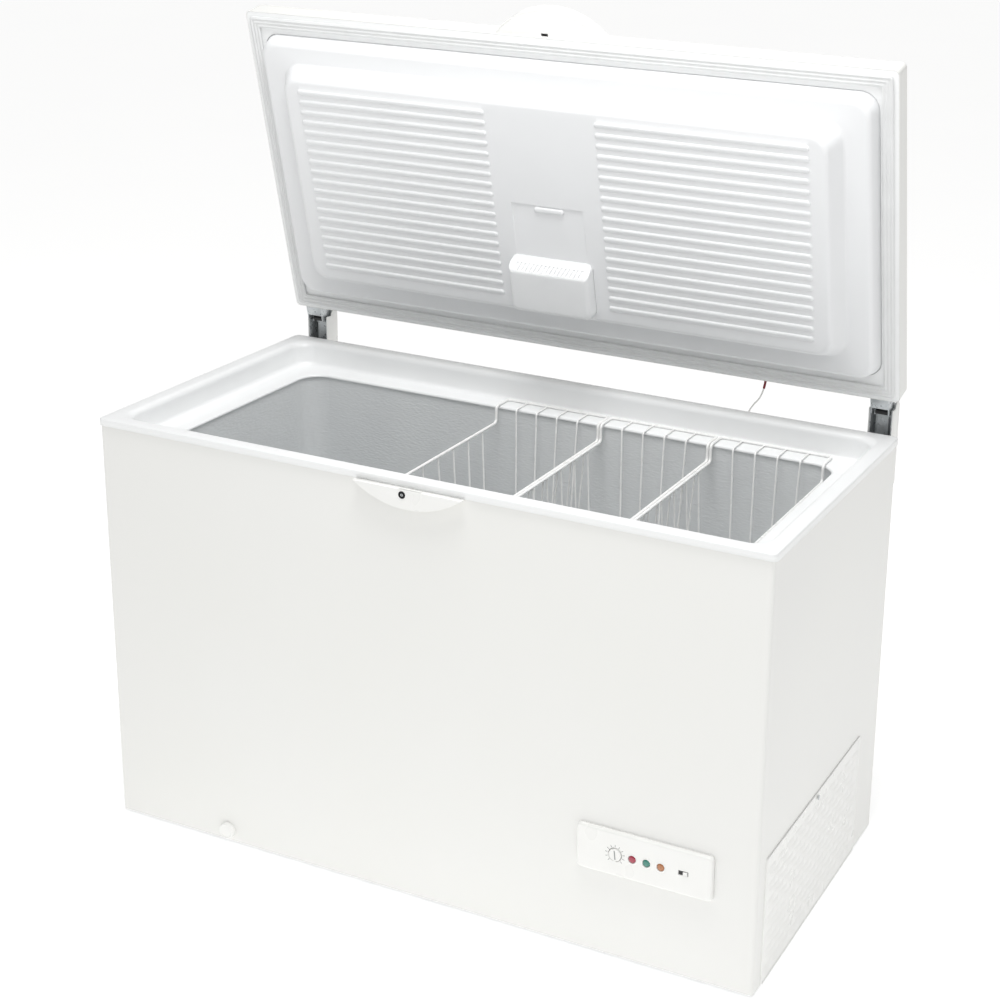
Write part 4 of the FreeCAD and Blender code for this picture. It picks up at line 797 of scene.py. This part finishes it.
fascia_outline = np.array([fascia_low[0], fascia_high[0], fascia_low[2], fascia_high[2]])
fascia_profile = np.concatenate([
    [(0, 0), (0.4 * MM, 3 * MM)],
    bend((0.8 * MM + FASCIA_ROLL, FASCIA_DEEP - FASCIA_ROLL), FASCIA_ROLL, 180, 90, 7)])
fascia_face = fascia_outline + (FASCIA_ROLL + 4 * MM) * INWARDS
fascia_xs = np.arange(fascia_face[0], fascia_face[1] + 0.5 * MM, 0.9 * MM)
fascia_ys = spaced(fascia_face[2], fascia_face[3], 6 * MM, 0.8 * MM, [fascia_z], 16 * MM)
fascia_points, fascia_quads = capped(step_rows(fascia_outline, 9 * MM, fascia_profile), fascia_xs,
                                     fascia_ys, FASCIA_DEEP, fascia_relief, margin=6)
walled(make_piece("control_plate", front_plate(fascia_points), fascia_quads, "white_plastic",
                  "cabinet", ["control_fascia"], facing=(0, -1, 0), sharp=35), 1.5 * MM)

# %% Turned parts: lenses, dial, barrel and drain cap


def spun(profile, centre, around=64, knurl=None):
    """A profile of (radius, forward) turned round a line along Y through centre. Forward is
    towards -Y. knurl(angle, radius) may scale the radius."""
    radius, forward = np.asarray(profile).T
    angle = np.linspace(0, 2 * np.pi, around, endpoint=False)
    wide = radius[:, None] * np.ones(around)
    if knurl is not None:
        wide *= knurl(angle[None], radius[:, None])
    return np.stack([centre[0] + wide * np.cos(angle), centre[1] - forward[:, None] + 0 * wide,
                     centre[2] + wide * np.sin(angle)], -1)


def spun_piece(name, profile, centre, slot, body, stands_for=(), around=64, knurl=None):
    """A turned part as a closed piece: its first and last points lie on the axis."""
    rows = spun(profile, centre, around, knurl)
    return welded(make_piece(name, rows.reshape(-1, 3), band_quads(*rows.shape[:2]), slot, body,
                             stands_for, sharp=35))


def dome(radius, foot, edge, top, steps=6):
    """A shallow lens profile: from the axis at foot, out to the radius, up to edge, then a
    quarter of an ellipse back to the axis at top."""
    angle = np.radians(np.linspace(0, 90, steps + 1))
    crown = np.stack([radius * np.cos(angle), edge + (top - edge) * np.sin(angle)], -1)
    return np.concatenate([[(0, foot), (radius, foot)], crown])


for node, slot in LENSES.items():
    centre = (centre_of[node][0], fascia_low[1], fascia_z)
    spun_piece(node.replace("lens", "indicator"), dome(LENS_RADIUS, -3.9 * MM, -0.6 * MM, 1.5 * MM),
               centre, slot, "cabinet", [node], around=40)
dial_centre = (centre_of["thermostat_dial"][0], fascia_low[1], fascia_z)
dial_profile = [(0, -3.9 * MM), (DIAL_RADIUS, -3.9 * MM), (DIAL_RADIUS, 0.8 * MM),
                (DIAL_RADIUS - 0.5 * MM, 1.9 * MM), (DIAL_RADIUS - 1.6 * MM, 2.3 * MM),
                (DIAL_RADIUS - 2.6 * MM, 1.9 * MM), (DIAL_RADIUS - 4 * MM, 1.7 * MM), (0, 1.6 * MM)]


def milled(angle, radius):
    """36 shallow flutes in the dial's edge, none near its middle."""
    return 1 - 0.02 * (0.5 + 0.5 * np.cos(36 * angle)) * (radius > DIAL_RADIUS - 0.6 * MM)


spun_piece("temperature_dial", dial_profile, dial_centre, "white_plastic", "dial",
           ["thermostat_dial"], around=144, knurl=milled)

# %% Flat marks: dial pointer, dial scale, and a black plate of painted shade in the switch slot


def slabs(centres, half_sizes, angles, front):
    """Small upright blocks on the panel: eight corners each, turned by an angle about its own
    centre in the panel's plane, and lying between two depths front = (back, face)."""
    centres, half_sizes, angles = (np.atleast_2d(part) for part in (centres, half_sizes, angles))
    cos, sin = np.cos(angles.reshape(-1, 1)), np.sin(angles.reshape(-1, 1))
    corner = np.array([(-1, -1), (1, -1), (1, 1), (-1, 1)])
    local = corner[None] * half_sizes[:, None]
    x = centres[:, :1] + local[..., 0] * cos - local[..., 1] * sin
    z = centres[:, 1:] + local[..., 0] * sin + local[..., 1] * cos
    layers = [np.stack([x, np.full_like(x, depth), z], -1) for depth in front]
    points = np.concatenate(layers, 1).reshape(-1, 3)
    quads = np.array([(0, 1, 2, 3), (7, 6, 5, 4), (0, 4, 5, 1), (1, 5, 6, 2), (2, 6, 7, 3),
                      (3, 7, 4, 0)])
    return points, (np.arange(len(centres))[:, None, None] * 8 + quads[None]).reshape(-1, 4)


TICKS = 11
tick_angle = np.radians(np.linspace(-45, 225, TICKS))
tick_centre = np.stack([dial_centre[0] + 17.5 * MM * np.cos(tick_angle),
                        fascia_z + 17.5 * MM * np.sin(tick_angle)], -1)
tick_size = np.tile([2.2 * MM, 0.45 * MM], (TICKS, 1))
make_piece("dial_scale", *slabs(tick_centre, tick_size, tick_angle, (fascia_low[1] + 0.5 * MM,
           fascia_low[1] - 0.2 * MM)), "grey_plastic", "cabinet", sharp=20)
make_piece("dial_pointer", *slabs([(dial_centre[0], fascia_z)], [(0.8 * MM, 9.0 * MM)], [0.12],
           (fascia_low[1] - 1.2 * MM, fascia_low[1] - 2.2 * MM)), "grey_plastic", "dial", sharp=20)
slot_middle = ((SLOT_LEFT + SLOT_RIGHT) / 2, fascia_z)
# A black plate at the bottom of the slider's slot: painted shade, standing for the shadow inside the open slot.
make_piece("switch_slot_painted_shade", *slabs([slot_middle], [((SLOT_RIGHT - SLOT_LEFT) / 2 - 0.2 * MM,
           SLOT_HALF - 0.2 * MM)], [0], (fascia_low[1] + 2.9 * MM, fascia_low[1] + 1.6 * MM)),
           "black_plastic", "cabinet", sharp=20)
knob_face = rest_box("fast_freeze_slider")[0][1]
make_piece("fast_freeze_knob", *slabs([(SLOT_RIGHT - 5.6 * MM, fascia_z)], [(4.2 * MM, 3.1 * MM)],
           [0], (fascia_low[1] + 1.4 * MM, knob_face)), "white_plastic", "fast_freeze_switch",
           ["fast_freeze_slider"], sharp=20)

# %% Lock and drain
barrel_low, barrel_high = rest_box("lock_barrel")
barrel_centre = (centre_of["lock_barrel"][0], barrel_low[1], centre_of["lock_barrel"][2])
BARREL_RADIUS = (barrel_high[0] - barrel_low[0]) / 2
spun_piece("lock_cylinder", [(0, -26 * MM), (3.5 * MM, -26 * MM), (3.5 * MM, -6 * MM),
                             (BARREL_RADIUS, -6 * MM), (BARREL_RADIUS, -0.6 * MM),
                             (BARREL_RADIUS - 0.7 * MM, 0), (3.2 * MM, 0), (3.0 * MM, -0.8 * MM),
                             (0, -0.8 * MM)], barrel_centre, "blackened_lock_plate", "lock",
           ["lock_barrel"])
spun_piece("lock_core", [(0, -1.4 * MM), (2.7 * MM, -1.4 * MM), (2.7 * MM, -0.4 * MM),
                         (2.3 * MM, -0.1 * MM), (0, -0.1 * MM)], barrel_centre, "zinc_plated_steel",
           "lock", around=40)
# A thin black bar just inside the core's face: painted shade, standing for the dark inside the keyhole.
make_piece("keyhole_painted_shade", *slabs([(barrel_centre[0], barrel_centre[2])], [(0.55 * MM, 1.7 * MM)], [0],
           (barrel_low[1] + 0.6 * MM, barrel_low[1] + 0.02 * MM)), "black_plastic", "lock", sharp=20)
cap_low, cap_high = rest_box("drain_cap")
CAP_RADIUS = (cap_high[0] - cap_low[0]) / 2
cap_centre = (centre_of["drain_cap"][0], cap_low[1], centre_of["drain_cap"][2])
spun_piece("drain_cover", [(0, -27 * MM), (8.5 * MM, -27 * MM), (8.5 * MM, -9.5 * MM),
                           (CAP_RADIUS, -9.3 * MM), (CAP_RADIUS, -3 * MM),
                           (CAP_RADIUS - 0.6 * MM, -1.2 * MM), (CAP_RADIUS - 2.2 * MM, -0.2 * MM),
                           (CAP_RADIUS - 4 * MM, -0.4 * MM), (CAP_RADIUS - 5 * MM, -1.2 * MM),
                           (0, -0.8 * MM)], cap_centre, "white_plastic", "drain_cap", ["drain_cap"],
           around=96)

# %% [markdown]
# ## The side grille
# A moulded plate over the machine bay, covered with staggered hoods. Each hood is a shallow pillow
# with a narrow slit under its lower edge, too low to look into from standing height, so the grille
# reads as a lattice of soft highlights. One relief makes all of them; separate hoods would be
# hundreds of small pieces for the same look.

# %% Side grille
grille_low, grille_high = rest_box("side_grille")
HOOD_ROWS, HOOD_COLUMNS = 13, 11
HOOD_LONG, HOOD_HALF, HOOD_TALL, SLIT_BELOW, SLIT_HALF = (
    24 * MM, 17.5 * MM, 6.6 * MM, 7.6 * MM, 1.4 * MM)
row_pitch = (grille_high[2] - grille_low[2] - 58 * MM) / (HOOD_ROWS - 1)
column_pitch = (grille_high[1] - grille_low[1] - 36 * MM - HOOD_LONG) / (HOOD_COLUMNS - 1)
first_z, first_y = grille_low[2] + 25.5 * MM, grille_low[1] + 30 * MM
GRILLE_FACE, HOOD_RISE, SLIT_DEEP = 1.1 * MM, 1.85 * MM, 0.8 * MM


def grille_relief(y, z, w):
    """Height of the plate, plus staggered pillows whose shape is one minus the fourth powers of
    the shares of their half sizes, less a slit below each whose depth falls off as a bell."""
    row = np.clip(np.round((z - first_z) / row_pitch), 0, HOOD_ROWS - 1)
    shift = 0.5 * (row % 2)
    column = np.clip(np.round((y - first_y) / column_pitch - shift), 0, HOOD_COLUMNS - 1 - row % 2)
    beside = (y - first_y) - (column + shift) * column_pitch
    above = (z - first_z) - row * row_pitch
    body = np.clip(1 - (beside / HOOD_HALF) ** 4 - (above / HOOD_TALL) ** 4, 0, 1) ** 0.6
    hood = HOOD_RISE * body * (0.65 + 0.35 * np.clip(-above / (6 * MM), -1, 1))
    bell = np.exp(-((above + SLIT_BELOW) / SLIT_HALF) ** 2)
    slit = SLIT_DEEP * (abs(beside) < HOOD_LONG / 2) * bell
    return np.where(w < GRILLE_FACE - 0.01 * MM, w, GRILLE_FACE + hood - slit)


grille_outline = np.array([grille_low[1], grille_high[1], grille_low[2], grille_high[2]])
grille_profile = [(0, 0), (0.2 * MM, 1.6 * MM), (0.9 * MM, 2.3 * MM), (2.0 * MM, 2.45 * MM),
                  (3.2 * MM, 2.2 * MM), (4.2 * MM, GRILLE_FACE - 0.02 * MM), (6 * MM, GRILLE_FACE)]
grille_rows = step_rows(grille_outline, 7 * MM, grille_profile)
grille_face = grille_outline + 9 * MM * INWARDS


def grille_shape(y, z, w):
    """The border's own profile stays; the relief applies to the level face."""
    low_y, high_y, low_z, high_z = grille_outline + 8 * MM * INWARDS
    inside = (y > low_y) & (y < high_y) & (z > low_z) & (z < high_z)
    return np.where(inside, grille_relief(y, z, w), w)


grille_ys = np.arange(grille_face[0], grille_face[1], 2.2 * MM)
grille_zs = np.arange(grille_face[2], grille_face[3], 1.25 * MM)
grille_points, grille_quads = capped(grille_rows, grille_ys, grille_zs, GRILLE_FACE, grille_shape)
y, z, deep = grille_points.T
make_piece("bay_grille", np.stack([grille_low[0] + deep, y, z], -1), grille_quads, "white_plastic",
           "cabinet", ["side_grille"], facing=(1, 0, 0), sharp=60)

# %% [markdown]
# ## Soft-edged mouldings and pressings
# The handle's under plate, lock plate, hinge pressings and their covers have the right shapes in
# CAD but sharp edges. A copy of each is merged, its flat faces are joined, and a bevel rounds
# every real edge: that keeps the size and adds the thin highlights of a moulded edge.

# %% Softened copies of CAD nodes


def softened(node, name, width, body, sharp=30, segments=3):
    """A merged copy of a CAD node with every edge sharper than `sharp` degrees rounded."""
    mesh = nodes[node].data.copy()
    mesh.name = name
    work = bmesh.new()
    work.from_mesh(mesh)
    bmesh.ops.remove_doubles(work, verts=work.verts, dist=2e-6)
    bmesh.ops.dissolve_limit(work, angle_limit=math.radians(1.0), verts=work.verts, edges=work.edges)
    bmesh.ops.recalc_face_normals(work, faces=work.faces)
    work.to_mesh(mesh)
    work.free()
    mesh.polygons.foreach_set("use_smooth", np.ones(len(mesh.polygons), bool))
    obj = bpy.data.objects.new(name, mesh)
    bpy.context.scene.collection.objects.link(obj)
    edge = obj.modifiers.new("edge", "BEVEL")
    edge.width, edge.segments, edge.limit_method = width, segments, "ANGLE"
    edge.angle_limit = math.radians(sharp)
    edge.use_clamp_overlap = True
    return settle(obj, body, [node])


softened("handle_plate", "handle_underplate", 0.9 * MM, "lid")
softened("lock_plate", "lock_moulding", 3.0 * MM, "cabinet")
for side in ("left", "right"):
    softened(f"hinge_body_{side}", f"hinge_channel_{side}", 0.7 * MM, "cabinet", segments=2)
    softened(f"hinge_cover_{side}", f"hinge_cap_{side}", 1.0 * MM, "cabinet", segments=2)
    softened(f"hinge_leaf_{side}", f"hinge_arm_{side}", 0.6 * MM, "lid", segments=2)

# %% [markdown]
# ## Floor and light
# A studio: white surround, one large soft light high on the camera's side of the front, so that
# the front is brightest, the grille side a step darker, and raised things throw short soft
# shadows to their left. A second one above shines into the tub. The floor is pale and plain.

# %% Floor
FLOOR_HALF = 40.0
floor_material = coated("floor", "studio_floor_paint", ("#F4F4F3", "#F7F7F6"), (0.75, 0.85),
                        900, 4, 0.01)
floor_shader = floor_material.node_tree.nodes["Principled BSDF"]
floor_shader.inputs["Emission Color"].default_value = (1, 1, 1, 1)
floor_shader.inputs["Emission Strength"].default_value = 0.58
floor_mesh = bpy.data.meshes.new("floor")
floor_corners = np.array([(-1, -1, 0), (1, -1, 0), (1, 1, 0), (-1, 1, 0)]) * FLOOR_HALF
floor_mesh.from_pydata(floor_corners.tolist(), [], [(0, 1, 2, 3)])
floor_mesh.materials.append(floor_material)
floor = bpy.data.objects.new("floor", floor_mesh)
bpy.context.scene.collection.objects.link(floor)

# %% Light
world = bpy.data.worlds.new("studio")
bpy.context.scene.world = world
world.use_nodes = True
surround = world.node_tree.nodes["Background"]
surround.inputs["Color"].default_value = (1.0, 1.0, 1.0, 1)
surround.inputs["Strength"].default_value = 0.41


def softbox(name, direction, distance, size, power):
    """A square area light that far from the freezer along a direction, aimed at its middle."""
    data = bpy.data.lights.new(name, "AREA")
    data.energy, data.size = power, size
    lamp = bpy.data.objects.new(name, data)
    bpy.context.scene.collection.objects.link(lamp)
    away = Vector(direction).normalized()
    lamp.location = Vector((0, 0, 0.7)) + away * distance
    lamp.rotation_euler = away.to_track_quat("Z", "Y").to_euler()
    return lamp


softbox("key", (0.55, -0.95, 0.95), 4.2, 1.6, 26)
softbox("tub", (0.1, -0.25, 1.0), 2.6, 1.0, 45)
bpy.context.scene.view_settings.view_transform = "Standard"
